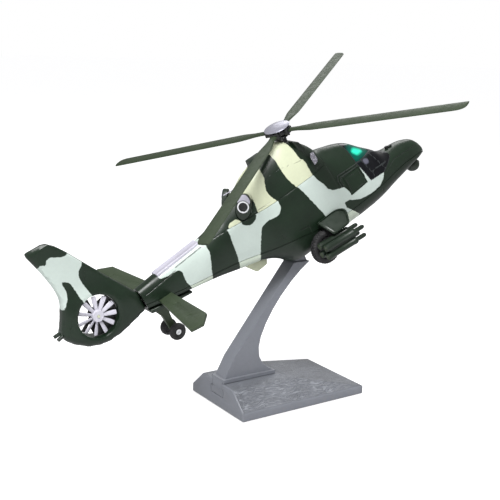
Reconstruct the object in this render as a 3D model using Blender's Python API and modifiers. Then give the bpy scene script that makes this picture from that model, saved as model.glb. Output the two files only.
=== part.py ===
"""Toy helicopter on a display stand, built as an assembly of separate solids.

World frame: metres, +X towards the nose, +Y to port, +Z up, origin under the middle of the stand's base.
Helicopter frame: U forward, Y port, W up the rotor mast, origin on the mast line at the height of the rotor;
it is pitched nose-up on the stand. Dimensions are in millimetres and every helper turns them into metres.
"""

import math

import bmesh
import bpy
from mathutils import Euler, Matrix, Vector

MM = 0.001

# --- driving dimensions, in millimetres and degrees ---
ROTOR_RADIUS = 125.0
ROTOR_HUB_U = 5.5
ROTOR_PLANE_W = -3.6
BLADE_ROOT = 9.0
BLADE_CHORD = 8.6
BLADE_THICKNESS = 1.2
FIRST_BLADE_AZIMUTH = -63.3
BLADE_LEAD = (-4.5, 3.3, 4.3, 5.8)
BLADE_DROOP = (-0.6, 1.8, -0.1, -0.4)
BLADE_FEATHER = -5.0

HELI_ORIGIN = (-13.63, 0.0, 172.17)
HELI_PITCH = 28.4

BASE_LENGTH = 94.6
BASE_WIDTH = 60.6
BASE_EDGE = 5.4
PLATEAU_HEIGHT = 16.5
PLATEAU_FRONT = -3.0
PLATEAU_HALF = 17.5
ARM_HALF = 5.5
SLOT_NECK_HALF = 5.2
SLOT_FLANGE_HALF = 7.0
SLOT_FLOOR = 8.0
SLOT_CEILING = 12.5
SLOT_FRONT = -10.0

WALL = 1.2
GAP = 0.3
SEAM_GAP = 0.2
DECK_W = -34.8
COWL_REAR_U = -66.8
COWL_FRONT_U = 20.2

FAN_U = -149.0
FAN_W = -33.7
FAN_RADIUS = 12.3
FAN_BLADES = 11
FIN_HALF = 5.6

WHEEL_U = -7.0
WHEEL_W = -77.5
WHEEL_RADIUS = 11.0
WHEEL_WIDTH = 5.4
WHEEL_Y = 21.9
AXLE_RADIUS = 1.0
GEAR_MODULE = 0.5
AXLE_TEETH = 11
IDLER_TEETH = 20
BARREL_TEETH = 24
IDLER_U, IDLER_W = -2.0, -71.5
BARREL_U, BARREL_W = 5.45, -63.3

TAIL_WHEEL_U = -113.0
TAIL_WHEEL_W = -71.5
TAIL_WHEEL_RADIUS = 5.2
TAIL_WHEEL_Y = 5.6

PLUG_U = -17.6
SCREW_U = (84.0, -52.0, -98.0)

BUTTON_LOW = (-22.6, -3.2, -19.0)
BUTTON_HIGH = (-12.2, 3.2, -8.6)
EXHAUST_CENTRE = (-42.1, 10.0, -27.35)
EXHAUST_LONG = 8.0
EXHAUST_SHORT = 4.8
EXHAUST_DEPTH = 3.4
EXHAUST_MOUTH = 2.9

TURRET_U = 94.6
WING_DROOP = 30.0
TUBE_TILT = -6.2
TUBE_SPACING = (3.1, 2.9)
RACK_CENTRE = (0.4, 31.4, -75.6)
INTAKE_CENTRE = (13.9, 13.6, -26.0)
INTAKE_LEAN = 62.0

TAILPLANE_W = -48.8
TAILPLANE_RISE = 0.103
TAILPLANE_THICKNESS = 1.8

# Stations along U with the heights and half width that shape the body there
TOP_LINE = (
    (-122, -35.6), (-108, -34.5), (-74, -32.8), (-66, -31.6), (-58, -28.6), (-46, -23.6), (-37, -20.0),
    (-28, -14.6), (-13, -10.2), (-2, -8.2), (6, -10.6), (12, -15.2), (20.4, -23.8), (21.2, -27.0),
    (31, -30.4), (40, -33.2), (47, -36.4), (57, -45.0), (63, -50.0), (70, -56.2), (77, -58.8),
    (88, -59.8), (98, -63.0), (102, -67.0), (103.5, -70.0),
)
SEAM_LINE = (
    (-122, -45.0), (-94, -51.0), (-59, -56.0), (-40, -59.5), (-20, -63.5), (0, -68.0), (18, -70.4),
    (54, -71.4), (80, -71.2), (98, -73.0), (103.5, -74.4),
)
BOTTOM_LINE = (
    (-122, -49.2), (-77, -58.0), (-58, -63.0), (-46, -65.4), (-39, -68.6), (-32, -74.0), (-26, -80.0),
    (-18, -82.0), (5, -82.0), (20, -81.6), (33, -82.2), (48, -82.4), (74, -80.2), (88, -78.6),
    (98, -77.4), (103.5, -76.4),
)
HALF_WIDTH = (
    (-122, 5.4), (-94, 7.4), (-70, 9.6), (-58, 11.4), (-46, 14.4), (-34, 17.2), (-20, 18.0), (6, 18.0),
    (24, 17.4), (40, 16.2), (50, 15.0), (60, 13.4), (70, 11.4), (80, 10.0), (90, 8.6), (98, 6.8),
    (103.5, 4.6),
)

PAINTS = {
    "dark_green": ((0.035, 0.055, 0.036), 0.45, 0.0),
    "pale_green": ((0.58, 0.67, 0.61), 0.4, 0.0),
    "cream": ((0.73, 0.74, 0.50), 0.5, 0.0),
    "olive": ((0.085, 0.115, 0.07), 0.5, 0.0),
    "black": ((0.012, 0.012, 0.013), 0.5, 0.0),
    "rubber": ((0.016, 0.015, 0.016), 0.75, 0.0),
    "stand_grey": ((0.33, 0.34, 0.37), 0.4, 0.0),
    "silver": ((0.78, 0.78, 0.82), 0.3, 0.6),
    "steel": ((0.55, 0.56, 0.58), 0.3, 1.0),
    "white": ((0.82, 0.83, 0.84), 0.4, 0.0),
    "smoke": ((0.02, 0.03, 0.035), 0.1, 0.0),
    "board_green": ((0.02, 0.16, 0.06), 0.5, 0.0),
}


# --- scene set-up ---
def clear_scene():
    for old in list(bpy.data.objects):
        bpy.data.objects.remove(old, do_unlink=True)


def make_collection(name):
    made = bpy.data.collections.new(name)
    bpy.context.scene.collection.children.link(made)
    return made


clear_scene()
PARTS = make_collection("toy_helicopter")
CUTTERS = make_collection("cutters")


def make_empty(name, location, rotation=(0.0, 0.0, 0.0)):
    empty = bpy.data.objects.new(name, None)
    empty.location = Vector(location) * MM
    empty.rotation_euler = rotation
    PARTS.objects.link(empty)
    return empty


STAND = make_empty("stand_frame", (0, 0, 0))
HELI = make_empty("helicopter_frame", HELI_ORIGIN, (0.0, -math.radians(HELI_PITCH), 0.0))


def paint(obj, colour):
    """Give the object its own material in one of the named paints."""
    rgb, roughness, metallic = PAINTS[colour]
    material = bpy.data.materials.new(f"{obj.name}_{colour}")
    material.use_nodes = True
    shader = material.node_tree.nodes["Principled BSDF"]
    shader.inputs["Base Color"].default_value = (*rgb, 1.0)
    shader.inputs["Roughness"].default_value = roughness
    shader.inputs["Metallic"].default_value = metallic
    obj.data.materials.clear()
    obj.data.materials.append(material)


# --- shape helpers; sizes and places are in millimetres ---
def object_from_bmesh(name, bm, parent, location=(0, 0, 0), rotation=(0, 0, 0), smooth=True):
    mesh = bpy.data.meshes.new(name)
    bmesh.ops.scale(bm, vec=(MM, MM, MM), verts=bm.verts)
    bmesh.ops.recalc_face_normals(bm, faces=bm.faces)
    bm.to_mesh(mesh)
    bm.free()
    if smooth:
        mesh.shade_smooth()
        mesh.set_sharp_from_angle(angle=math.radians(35))
    obj = bpy.data.objects.new(name, mesh)
    obj.location = Vector(location) * MM
    obj.rotation_euler = rotation
    obj.parent = parent
    PARTS.objects.link(obj)
    return obj


def add_bevel(obj, width, segments=1, angle=35):
    bevel = obj.modifiers.new("Bevel", "BEVEL")
    bevel.width = width * MM
    bevel.segments = segments
    bevel.limit_method = "ANGLE"
    bevel.angle_limit = math.radians(angle)
    return obj


def box(name, low, high, parent, bevel=0.0, rotation=(0, 0, 0)):
    """A block between two corners; a rotation turns it about its own middle."""
    low, high = Vector(low), Vector(high)
    bm = bmesh.new()
    bmesh.ops.create_cube(bm, size=1.0)
    bmesh.ops.scale(bm, vec=high - low, verts=bm.verts)
    obj = object_from_bmesh(name, bm, parent, (low + high) / 2, rotation, smooth=False)
    if bevel:
        add_bevel(obj, bevel)
    return obj


AXIS_ROTATION = {
    "U": (0.0, math.pi / 2, 0.0),
    "Y": (-math.pi / 2, 0.0, 0.0),
    "W": (0.0, 0.0, 0.0),
}


def cylinder(name, radius, length, centre, axis, parent, segments=32, end_radius=None, bevel=0.0):
    bm = bmesh.new()
    top = radius if end_radius is None else end_radius
    bmesh.ops.create_cone(
        bm, cap_ends=True, segments=segments, radius1=radius, radius2=top, depth=length
    )
    obj = object_from_bmesh(name, bm, parent, centre, AXIS_ROTATION[axis])
    if bevel:
        add_bevel(obj, bevel)
    return obj


def turned(name, profile, centre, axis, parent, steps=32):
    """Spin an outline of (radius, height) points, listed from the top down its outer side."""
    bm = bmesh.new()
    points = [bm.verts.new((radius, 0.0, height)) for radius, height in profile]
    for one, two in zip(points, points[1:]):
        bm.edges.new((one, two))
    obj = object_from_bmesh(name, bm, parent, centre, AXIS_ROTATION[axis])
    screw = obj.modifiers.new("Screw", "SCREW")
    screw.steps = steps
    screw.render_steps = steps
    screw.use_merge_vertices = True
    screw.merge_threshold = 0.00001
    screw.use_smooth_shade = True
    return obj


def mesh_from_curve(curve_object, name, parent):
    """Turn a flat outline's curve into a mesh with its caps welded on."""
    bpy.context.view_layer.update()
    evaluated = curve_object.evaluated_get(bpy.context.evaluated_depsgraph_get())
    mesh = bpy.data.meshes.new_from_object(evaluated)
    bm = bmesh.new()
    bm.from_mesh(mesh)
    bmesh.ops.remove_doubles(bm, verts=bm.verts, dist=0.000001)
    bmesh.ops.recalc_face_normals(bm, faces=bm.faces)
    bm.to_mesh(mesh)
    bm.free()
    obj = bpy.data.objects.new(name, mesh)
    obj.parent = parent
    obj.location = curve_object.location
    obj.rotation_euler = curve_object.rotation_euler
    PARTS.objects.link(obj)
    bpy.data.objects.remove(curve_object, do_unlink=True)
    return obj


def plate(name, outline, thickness, parent, centre=(0, 0, 0), rotation=(0, 0, 0), holes=(), bevel=0.0):
    """A flat outline given a thickness, lying across its own Z."""
    curve = bpy.data.curves.new(name, "CURVE")
    curve.dimensions = "2D"
    curve.fill_mode = "BOTH"
    curve.extrude = thickness / 2 * MM
    for loop in (outline, *holes):
        spline = curve.splines.new("POLY")
        spline.points.add(len(loop) - 1)
        for point, (across, along) in zip(spline.points, loop):
            point.co = (across * MM, along * MM, 0.0, 1.0)
        spline.use_cyclic_u = True
    curve_object = bpy.data.objects.new(name + "_outline", curve)
    curve_object.location = Vector(centre) * MM
    curve_object.rotation_euler = rotation
    PARTS.objects.link(curve_object)
    obj = mesh_from_curve(curve_object, name, parent)
    if bevel:
        add_bevel(obj, bevel)
    return obj


SIDE_VIEW = (math.pi / 2, 0.0, 0.0)


def side_plate(name, outline, thickness, y, parent, holes=(), bevel=0.0):
    """A plate whose outline is given along U and W."""
    return plate(name, outline, thickness, parent, (0, y, 0), SIDE_VIEW, holes, bevel)


def loft(name, rings, parent, close_front=False, close_rear=False, wall=0.0):
    """Skin through open rings of points; a wall makes it a shell that grows inwards."""
    bm = bmesh.new()
    rows = [[bm.verts.new(point) for point in ring] for ring in rings]
    for one, two in zip(rows, rows[1:]):
        for k in range(len(one) - 1):
            bm.faces.new((one[k], one[k + 1], two[k + 1], two[k]))
    if close_rear:
        bm.faces.new(rows[0])
    if close_front:
        bm.faces.new(rows[-1])
    obj = object_from_bmesh(name, bm, parent)
    if wall:
        solid = obj.modifiers.new("Solidify", "SOLIDIFY")
        solid.thickness = wall * MM
        solid.offset = -1.0
        solid.use_even_offset = False
    return obj


def hide(cutter):
    cutter.hide_render = True
    cutter.display_type = "WIRE"
    for owner in list(cutter.users_collection):
        owner.objects.unlink(cutter)
    CUTTERS.objects.link(cutter)
    return cutter


def combine(target, other, operation):
    boolean = target.modifiers.new(operation.title(), "BOOLEAN")
    boolean.operation = operation
    boolean.solver = "EXACT"
    boolean.object = hide(other)
    return target


def cut(target, *cutters):
    for cutter in cutters:
        combine(target, cutter, "DIFFERENCE")
    return target


def join(target, *others):
    for other in others:
        combine(target, other, "UNION")
    return target


# --- the body's form ---
def smooth_line(table):
    """A curve through (u, value) points that never overshoots between them."""
    us = [float(u) for u, _ in table]
    values = [float(v) for _, v in table]
    slopes = [(values[i + 1] - values[i]) / (us[i + 1] - us[i]) for i in range(len(us) - 1)]
    tangents = [slopes[0]]
    for left, right in zip(slopes, slopes[1:]):
        if left * right <= 0:
            tangents.append(0.0)
        else:
            tangents.append(2 * left * right / (left + right))
    tangents.append(slopes[-1])

    def value_at(u):
        u = min(max(u, us[0]), us[-1])
        i = max(k for k in range(len(us) - 1) if us[k] <= u)
        span = us[i + 1] - us[i]
        t = (u - us[i]) / span
        h00 = 2 * t**3 - 3 * t**2 + 1
        h10 = t**3 - 2 * t**2 + t
        h01 = -2 * t**3 + 3 * t**2
        h11 = t**3 - t**2
        return (
            h00 * values[i]
            + h10 * span * tangents[i]
            + h01 * values[i + 1]
            + h11 * span * tangents[i + 1]
        )

    return value_at


top_at = smooth_line(TOP_LINE)
seam_at = smooth_line(SEAM_LINE)
bottom_at = smooth_line(BOTTOM_LINE)
half_width_at = smooth_line(HALF_WIDTH)


def crown_power(u):
    """How square the upper cross-section is: rounder at the cabin, boxier along the boom and nose."""
    return 2.2 if -60 < u < 60 else 2.6


def upper_half_width(u, w):
    """Half width of the body at a height above the seam."""
    low, high = seam_at(u), top_at(u)
    share = min(max((w - low) / (high - low), 0.0), 1.0)
    power = crown_power(u)
    return half_width_at(u) * (1 - share**power) ** (1 / power)


SIDE_POINTS = 4
CROWN_POINTS = 4
BELLY_POINTS = 6


def mirrored(half):
    """Both sides of a ring from its starboard half, which ends on the middle line."""
    return [(u, -y, w) for u, y, w in half] + [(u, y, w) for u, y, w in reversed(half[:-1])]


def under_cowling(u):
    return COWL_REAR_U - 0.5 < u < COWL_FRONT_U + 0.5


def upper_ring(u):
    low, high = seam_at(u) + SEAM_GAP, top_at(u)
    turn = DECK_W if under_cowling(u) else low + 0.62 * (high - low)
    half = []
    for k in range(SIDE_POINTS + 1):
        w = low + (turn - low) * k / SIDE_POINTS
        half.append((u, upper_half_width(u, w), w))
    shoulder = half[-1][1]
    power = crown_power(u)
    start = math.acos(min(1.0, (shoulder / half_width_at(u)) ** (power / 2)))
    for k in range(1, CROWN_POINTS + 1):
        if under_cowling(u):
            half.append((u, shoulder * (1 - k / CROWN_POINTS), DECK_W))
        else:
            angle = start + (math.pi / 2 - start) * k / CROWN_POINTS
            y = half_width_at(u) * abs(math.cos(angle)) ** (2 / power)
            w = seam_at(u) + (high - seam_at(u)) * math.sin(angle) ** (2 / power)
            half.append((u, y if k < CROWN_POINTS else 0.0, w))
    return mirrored(half)


def lower_ring(u):
    low, high = bottom_at(u), seam_at(u) - SEAM_GAP
    power = 2.8
    half = []
    for k in range(BELLY_POINTS + 1):
        angle = math.pi / 2 * k / BELLY_POINTS
        y = half_width_at(u) * abs(math.cos(angle)) ** (2 / power)
        w = high - (high - low) * math.sin(angle) ** (2 / power)
        half.append((u, y if k < BELLY_POINTS else 0.0, w))
    return mirrored(half)


COWL_POINTS = 6


def cowling_ring(u):
    base = DECK_W + GAP - 0.8
    high = top_at(u)
    power = crown_power(u)
    edge = upper_half_width(u, base)
    start = math.acos(min(1.0, (edge / half_width_at(u)) ** (power / 2)))
    half = []
    for k in range(COWL_POINTS + 1):
        angle = start + (math.pi / 2 - start) * k / COWL_POINTS
        y = half_width_at(u) * abs(math.cos(angle)) ** (2 / power)
        w = seam_at(u) + (high - seam_at(u)) * math.sin(angle) ** (2 / power)
        half.append((u, y if k < COWL_POINTS else 0.0, w))
    return mirrored(half)


HULL_STATIONS = (
    -122, -108, -90, -74, -67.6, -67.2, -58, -50, -42, -34, -26, -14, 0, 20.6, 20.9,
    28, 36, 43, 50, 57, 64, 71, 78, 88, 96, 100.5, 103.5,
)
BELLY_STATIONS = (
    -122, -100, -77, -58, -50, -44, -38, -32, -26, -18, -4, 14, 33, 50, 66, 80, 90, 98, 103.5,
)
COWL_STATIONS = (COWL_REAR_U, -60, -53, -46, -40, -34, -27, -20, -13, -6, 0, 6, 12, 20.2)

WINDSCREEN = ((41.5, -30.0), (42.2, -47.0), (47.2, -63.0), (61.0, -65.0), (73.5, -60.4), (74.5, -52.0))
DOOR = ((27.4, -49.2), (42.0, -49.6), (44.4, -62.2), (27.8, -62.2))


def shrunk(outline, amount):
    """The outline moved inwards by an even amount."""
    area = sum(
        a[0] * b[1] - b[0] * a[1] for a, b in zip(outline, outline[1:] + outline[:1])
    )
    sign = 1.0 if area > 0 else -1.0
    result = []
    for k, point in enumerate(outline):
        before = Vector(outline[k - 1])
        here = Vector(point)
        after = Vector(outline[(k + 1) % len(outline)])
        one = (here - before).normalized()
        two = (after - here).normalized()
        normal_one = Vector((-one.y, one.x)) * sign
        normal_two = Vector((-two.y, two.x)) * sign
        bisector = (normal_one + normal_two).normalized()
        result.append(tuple(here + bisector * amount / max(0.3, bisector.dot(normal_one))))
    return tuple(result)


# --- stand ---
def make_stand_base():
    """A low plinth: a flat plateau at the rear, with facets that fall to a thin edge all round."""
    half_l, half_w = BASE_LENGTH / 2, BASE_WIDTH / 2
    bm = bmesh.new()
    foot = [(-half_l, -half_w), (half_l, -half_w), (half_l, half_w), (-half_l, half_w)]
    ground = [bm.verts.new((x, y, 0.0)) for x, y in foot]
    edge = [bm.verts.new((x, y, BASE_EDGE)) for x, y in foot]
    crest = [
        bm.verts.new((x, y, PLATEAU_HEIGHT))
        for x, y in (
            (-half_l, -PLATEAU_HALF),
            (PLATEAU_FRONT, -PLATEAU_HALF),
            (PLATEAU_FRONT, PLATEAU_HALF),
            (-half_l, PLATEAU_HALF),
        )
    ]
    bm.faces.new(ground)
    bm.faces.new(crest)
    for k in range(4):
        nxt = (k + 1) % 4
        bm.faces.new((ground[k], ground[nxt], edge[nxt], edge[k]))
        if k != 3:
            bm.faces.new((edge[k], edge[nxt], crest[nxt], crest[k]))
    bm.faces.new((edge[3], edge[0], crest[0], crest[3]))
    base = object_from_bmesh("stand_base", bm, STAND, smooth=False)
    add_bevel(base, 0.6, 1, 12)
    neck = box("slot_neck", (-half_l - 1, -SLOT_NECK_HALF - GAP, SLOT_FLOOR - GAP),
               (SLOT_FRONT + GAP, SLOT_NECK_HALF + GAP, PLATEAU_HEIGHT + 2), STAND)
    flange = box("slot_flange", (-half_l - 1, -SLOT_FLANGE_HALF - GAP, SLOT_FLOOR - GAP),
                 (SLOT_FRONT + GAP, SLOT_FLANGE_HALF + GAP, SLOT_CEILING + GAP), STAND)
    cut(base, neck, flange)
    pocket_wall = 2.4
    for side, name in ((-1, "right"), (1, "left")):
        near, far = SLOT_FLANGE_HALF + 3.0, half_w - pocket_wall
        low_y, high_y = sorted((side * near, side * far))
        cut(base, box(f"pocket_{name}", (-half_l + pocket_wall, low_y, -1.0),
                      (half_l - pocket_wall, high_y, BASE_EDGE - 2.0), STAND))
        inner = side * (PLATEAU_HALF - 2.0)
        low_y, high_y = sorted((side * near, inner))
        cut(base, box(f"pocket_high_{name}", (-half_l + pocket_wall, low_y, -1.0),
                      (PLATEAU_FRONT - 2.0, high_y, PLATEAU_HEIGHT - 2.6), STAND))
    paint(base, "stand_grey")
    return base


def make_stand_arm():
    """The swept arm with its sliding foot below and the plug that carries the model on top."""
    rear = [(-45.0, 19.0), (-44.3, 21.0), (-39.0, 31.0), (-22.4, 52.5), (5.0, 88.0)]
    front = [(17.6, 88.0), (10.5, 82.6), (3.6, 76.2), (-4.2, 67.6), (-10.2, 59.4), (-15.4, 50.6),
             (-18.9, 42.4), (-20.2, 36.0), (-19.6, 29.6), (-16.6, 24.4), (-12.2, 20.9), (-8.6, 19.0)]
    arm = side_plate("stand_arm", rear + front + [(-8.6, 18.0), (-45.0, 18.0)], 2 * ARM_HALF, 0, STAND)
    foot = box("arm_foot", (-BASE_LENGTH / 2 + 0.4, -7.2, PLATEAU_HEIGHT + GAP),
               (-8.0, 7.2, PLATEAU_HEIGHT + 2.6), STAND)
    neck = box("arm_neck", (-BASE_LENGTH / 2 + 0.2, -SLOT_NECK_HALF, SLOT_FLOOR + 1.0),
               (SLOT_FRONT - 0.4, SLOT_NECK_HALF, PLATEAU_HEIGHT + 1.0), STAND)
    flange = box("arm_flange", (-BASE_LENGTH / 2 + 0.1, -SLOT_FLANGE_HALF, SLOT_FLOOR),
                 (SLOT_FRONT - 0.2, SLOT_FLANGE_HALF, SLOT_CEILING), STAND)
    plug = box("arm_plug", (PLUG_U - 4.0, -4.0, -88.5), (PLUG_U + 4.0, 4.0, -72.8), HELI)
    trim = box("arm_trim", (-80.0, -20.0, -82.6), (60.0, 20.0, -60.0), HELI)
    cut(arm, trim)
    join(arm, foot, neck, flange, plug)
    paint(arm, "stand_grey")
    return arm


# --- body shells ---
def make_upper_hull():
    rings = [upper_ring(u) for u in HULL_STATIONS]
    hull = loft("upper_hull", rings, HELI, close_front=True, wall=WALL)
    cut(hull, side_plate("windscreen_cut", WINDSCREEN, 60, 0, HELI))
    for side, name in ((-1, "right"), (1, "left")):
        cut(hull, side_plate(f"door_cut_{name}", DOOR, 12, side * 15.5, HELI))
    cut(hull, cylinder("mast_hole", 3.4, 20, (ROTOR_HUB_U, 0, DECK_W), "W", HELI, 24))
    for k, u in enumerate(SCREW_U):
        top = top_at(u) if not under_cowling(u) else DECK_W
        low = seam_at(u) + 1.0
        height = top - 0.6 - low
        boss = cylinder(f"upper_boss_{k}", 2.4, height, (u, 0, low + height / 2), "W", HELI, 12)
        join(hull, boss)
        cut(hull, cylinder(f"upper_boss_hole_{k}", 1.1, 12, (u, 0, low + 3.5), "W", HELI, 12))
    cut(hull, tailplane_slot("upper_tailplane_slot"))
    paint(hull, "pale_green")
    return hull


def make_lower_hull():
    rings = [lower_ring(u) for u in BELLY_STATIONS]
    hull = loft("lower_hull", rings, HELI, close_front=True, wall=WALL)
    join(hull, box("socket_wall", (PLUG_U - 5.9, -5.9, -81.7), (PLUG_U + 5.9, 5.9, -71.0), HELI))
    cut(hull, box("socket_cut", (PLUG_U - 4.3, -4.3, -90), (PLUG_U + 4.3, 4.3, -72.4), HELI))
    cut(hull, cylinder("axle_hole", AXLE_RADIUS + 0.35, 60, (WHEEL_U, 0, WHEEL_W), "Y", HELI, 20))
    cut(hull, box("battery_opening", (28.0, -8.0, -90), (50.0, 8.0, -78), HELI))
    for k, u in enumerate(SCREW_U):
        low, high = bottom_at(u), seam_at(u) - 0.8
        height = high - low - 0.4
        boss = cylinder(f"lower_boss_{k}", 2.6, height, (u, 0, high - height / 2), "W", HELI, 16)
        join(hull, boss)
        cut(hull, cylinder(f"lower_boss_hole_{k}", 1.2, 20, (u, 0, low + 5), "W", HELI, 12))
        cut(hull, cylinder(f"head_recess_{k}", 2.0, 4, (u, 0, low - 0.6), "W", HELI, 16))
    cut(hull, tailplane_slot("lower_tailplane_slot"))
    paint(hull, "dark_green")
    return hull


def make_hull_screws():
    for k, u in enumerate(SCREW_U):
        seat = bottom_at(u) + 1.4 - GAP
        head = 1.0
        length = seam_at(u) + 5.0 - seat
        profile = [(0.0, length), (0.4, length), (0.8, length - 1.0), (0.8, 0.0), (1.6, 0.0),
                   (1.6, -head * 0.6), (1.2, -head), (0.0, -head)]
        screw = turned(f"hull_screw_{k + 1}", profile, (u, 0, seat), "W", HELI, 10)
        paint(screw, "steel")


def make_cowling():
    rings = [cowling_ring(u) for u in COWL_STATIONS]
    cowl = loft("engine_cowling", rings, HELI, close_front=True, close_rear=True, wall=WALL)
    cut(cowl, box("cowl_trim", (-80, -30, -50), (40, 30, DECK_W + GAP), HELI))
    cut(cowl, cylinder("cowl_mast_hole", 3.4, 30, (ROTOR_HUB_U, 0, -12), "W", HELI, 24))
    cut(cowl, box("button_hole", (BUTTON_LOW[0] - GAP, BUTTON_LOW[1] - GAP, -20),
                  (BUTTON_HIGH[0] + GAP, BUTTON_HIGH[1] + GAP, 5), HELI))
    for side, name in ((-1, "right"), (1, "left")):
        cut(cowl, exhaust_form(f"exhaust_cut_{name}", side, GAP, 9.0))
    paint(cowl, "cream")
    return cowl


def exhaust_rotation(side):
    """The oval outlet faces outboard and aft, and leans with the cowling's flank."""
    outward = Vector((-0.62, side * 0.72, 0.30)).normalized()
    long_way = Vector((0.55, 0.0, 0.83))
    long_way = (long_way - outward * long_way.dot(outward)).normalized()
    across = long_way.cross(outward)
    return Matrix((long_way, -across, outward)).transposed().to_euler()


def exhaust_form(name, side, grow, depth):
    centre = (EXHAUST_CENTRE[0], side * EXHAUST_CENTRE[1], EXHAUST_CENTRE[2])
    bm = bmesh.new()
    bmesh.ops.create_cone(bm, cap_ends=True, segments=28, radius1=1.0, radius2=1.0, depth=1.0)
    bmesh.ops.scale(bm, vec=(EXHAUST_LONG + grow, EXHAUST_SHORT + grow, depth), verts=bm.verts)
    return object_from_bmesh(name, bm, HELI, centre, exhaust_rotation(side))


def make_exhaust(side, name):
    outlet = exhaust_form(f"exhaust_{name}", side, 0.0, EXHAUST_DEPTH)
    add_bevel(outlet, 0.6)
    outward = outlet.rotation_euler.to_matrix() @ Vector((0, 0, 1))
    mouth = Vector((EXHAUST_CENTRE[0], side * EXHAUST_CENTRE[1], EXHAUST_CENTRE[2])) + outward * 1.4
    hole = cylinder(f"exhaust_mouth_{name}", EXHAUST_MOUTH, 3.0, mouth, "W", HELI, 20)
    hole.rotation_euler = outlet.rotation_euler
    cut(outlet, hole)
    paint(outlet, "black")


def make_glazing():
    """One clear moulding that wraps over the nose of the cabin, flush in the hull's opening."""
    rings = [upper_ring(u) for u in range(38, 79, 4)]
    glazing = loft("canopy_glazing", rings, HELI, wall=WALL)
    fit = side_plate("glazing_fit", shrunk(WINDSCREEN, GAP), 60, 0, HELI)
    combine(glazing, fit, "INTERSECT")
    paint(glazing, "smoke")


def make_door(side, name):
    rings = [upper_ring(u) for u in (20.9, 26, 32, 38, 44, 50)]
    door = loft(f"door_{name}", rings, HELI, wall=WALL)
    fit = side_plate(f"door_fit_{name}", shrunk(DOOR, GAP), 12, side * 15.5, HELI)
    combine(door, fit, "INTERSECT")
    paint(door, "dark_green")


def make_cockpit():
    """The tub that stands on the lower shell, with two seats one behind the other."""
    tub = box("cockpit_tub", (23.0, -9.6, -69.5), (64.0, 9.6, -68.0), HELI)
    parts = [
        box("rear_seat", (24.5, -5.5, -68.6), (35.0, 5.5, -63.0), HELI),
        box("rear_seat_back", (23.6, -5.5, -68.6), (26.4, 5.5, -49.0), HELI),
        box("front_seat", (41.0, -5.0, -68.6), (51.0, 5.0, -65.0), HELI),
        box("front_seat_back", (40.0, -5.0, -68.6), (42.6, 5.0, -53.0), HELI),
        box("panel", (57.0, -6.0, -68.6), (60.0, 6.0, -61.0), HELI),
    ]
    join(tub, *parts)
    paint(tub, "black")


# --- things fixed to the body ---
def make_wing(side, name):
    """A short drooped wing, rounded where it meets the hull."""
    outline = [(-5.2, 0.0), (16.8, 0.0), (15.6, 6.0), (12.2, 11.0), (10.2, 14.4), (-3.8, 14.4), (-5.0, 6.0)]
    tilt = math.radians(WING_DROOP)
    root = (0.0, side * 18.5, -62.6)
    placed = [(u, side * s) for u, s in outline]
    wing = plate(f"stub_wing_{name}", placed, 2.0, HELI, root, (-side * tilt, 0, 0), bevel=0.5)
    paint(wing, "dark_green")


def make_missile_rack(side, name):
    """Four tubes round a rail, under the wing's outer edge."""
    pitch = math.radians(-TUBE_TILT)
    middle = (RACK_CENTRE[0], side * RACK_CENTRE[1], RACK_CENTRE[2])
    frame = make_empty(f"rack_frame_{name}", middle, (0, pitch, 0))
    frame.parent = HELI
    rack = box(f"missile_rack_{name}", (-14.0, -1.0, -3.4), (8.0, 1.0, 3.4), frame)
    rail = box(f"rack_bar_{name}", (-13.0, -3.4, -0.9), (7.0, 3.4, 0.9), frame)
    join(rack, rail)
    for row in (-1, 1):
        for column in (-1, 1):
            label = f"{name}_{row}_{column}"
            centre_y, centre_w = column * TUBE_SPACING[0], row * TUBE_SPACING[1]
            join(rack, cylinder(f"tube_{label}", 2.3, 24.0, (-4.0, centre_y, centre_w), "U", frame, 10))
            join(rack, cylinder(f"tip_{label}", 1.5, 10.0, (11.0, centre_y, centre_w), "U", frame, 8))
    paint(rack, "dark_green")


def make_intake(side, name):
    """An upright diamond of mesh on the cowling's flank."""
    outline = [(-0.1, 3.6), (2.0, 3.2), (1.5, -1.8), (0.2, -3.4), (-2.4, -4.0), (-1.8, 1.5)]
    placed = [(u, -side * w) for u, w in outline]
    centre = (INTAKE_CENTRE[0], side * INTAKE_CENTRE[1], INTAKE_CENTRE[2])
    grille = plate(f"intake_grille_{name}", placed, 0.8, HELI, centre,
                   (math.radians(-side * INTAKE_LEAN), 0, 0))
    paint(grille, "silver")


def make_small_fittings():
    ball = [(0.0, 2.0), (3.6, 2.0), (4.6, 0.6), (4.9, -1.4), (4.2, -3.4), (2.6, -4.7), (0.0, -5.2)]
    turret = turned("chin_turret", ball, (TURRET_U, 0, bottom_at(TURRET_U) - 2.6), "W", HELI, 24)
    paint(turret, "dark_green")
    button = box("sound_button", BUTTON_LOW, BUTTON_HIGH, HELI, bevel=0.6)
    paint(button, "dark_green")
    pod = side_plate("belly_antenna", [(-55.0, -64.6), (-48.4, -73.6), (-40.0, -73.2), (-38.6, -69.6),
                                       (-46.0, -66.2)], 7.0, 0, HELI, bevel=0.5)
    paint(pod, "cream")
    cover = box("battery_cover", (28.3, -7.7, -83.0), (49.7, 7.7, -81.8), HELI, bevel=0.2)
    paint(cover, "dark_green")
    for k in range(3):
        centre = (33.2 + 5.8 * k, 0, -75.8)
        cell = cylinder(f"button_cell_{k + 1}", 5.8, 5.0, centre, "U", HELI, 24, bevel=0.3)
        paint(cell, "steel")
    board = box("circuit_board", (-49.0, -7.0, -46.6), (-28.0, 7.0, -45.4), HELI)
    paint(board, "board_green")
    speaker = cylinder("speaker", 8.0, 4.0, (-40.0, 0, -52.0), "W", HELI, 28, bevel=0.5)
    paint(speaker, "black")
    led = cylinder("cockpit_led", 1.5, 4.6, (38.0, 0, -38.5), "W", HELI, 16)
    paint(led, "white")


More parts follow.
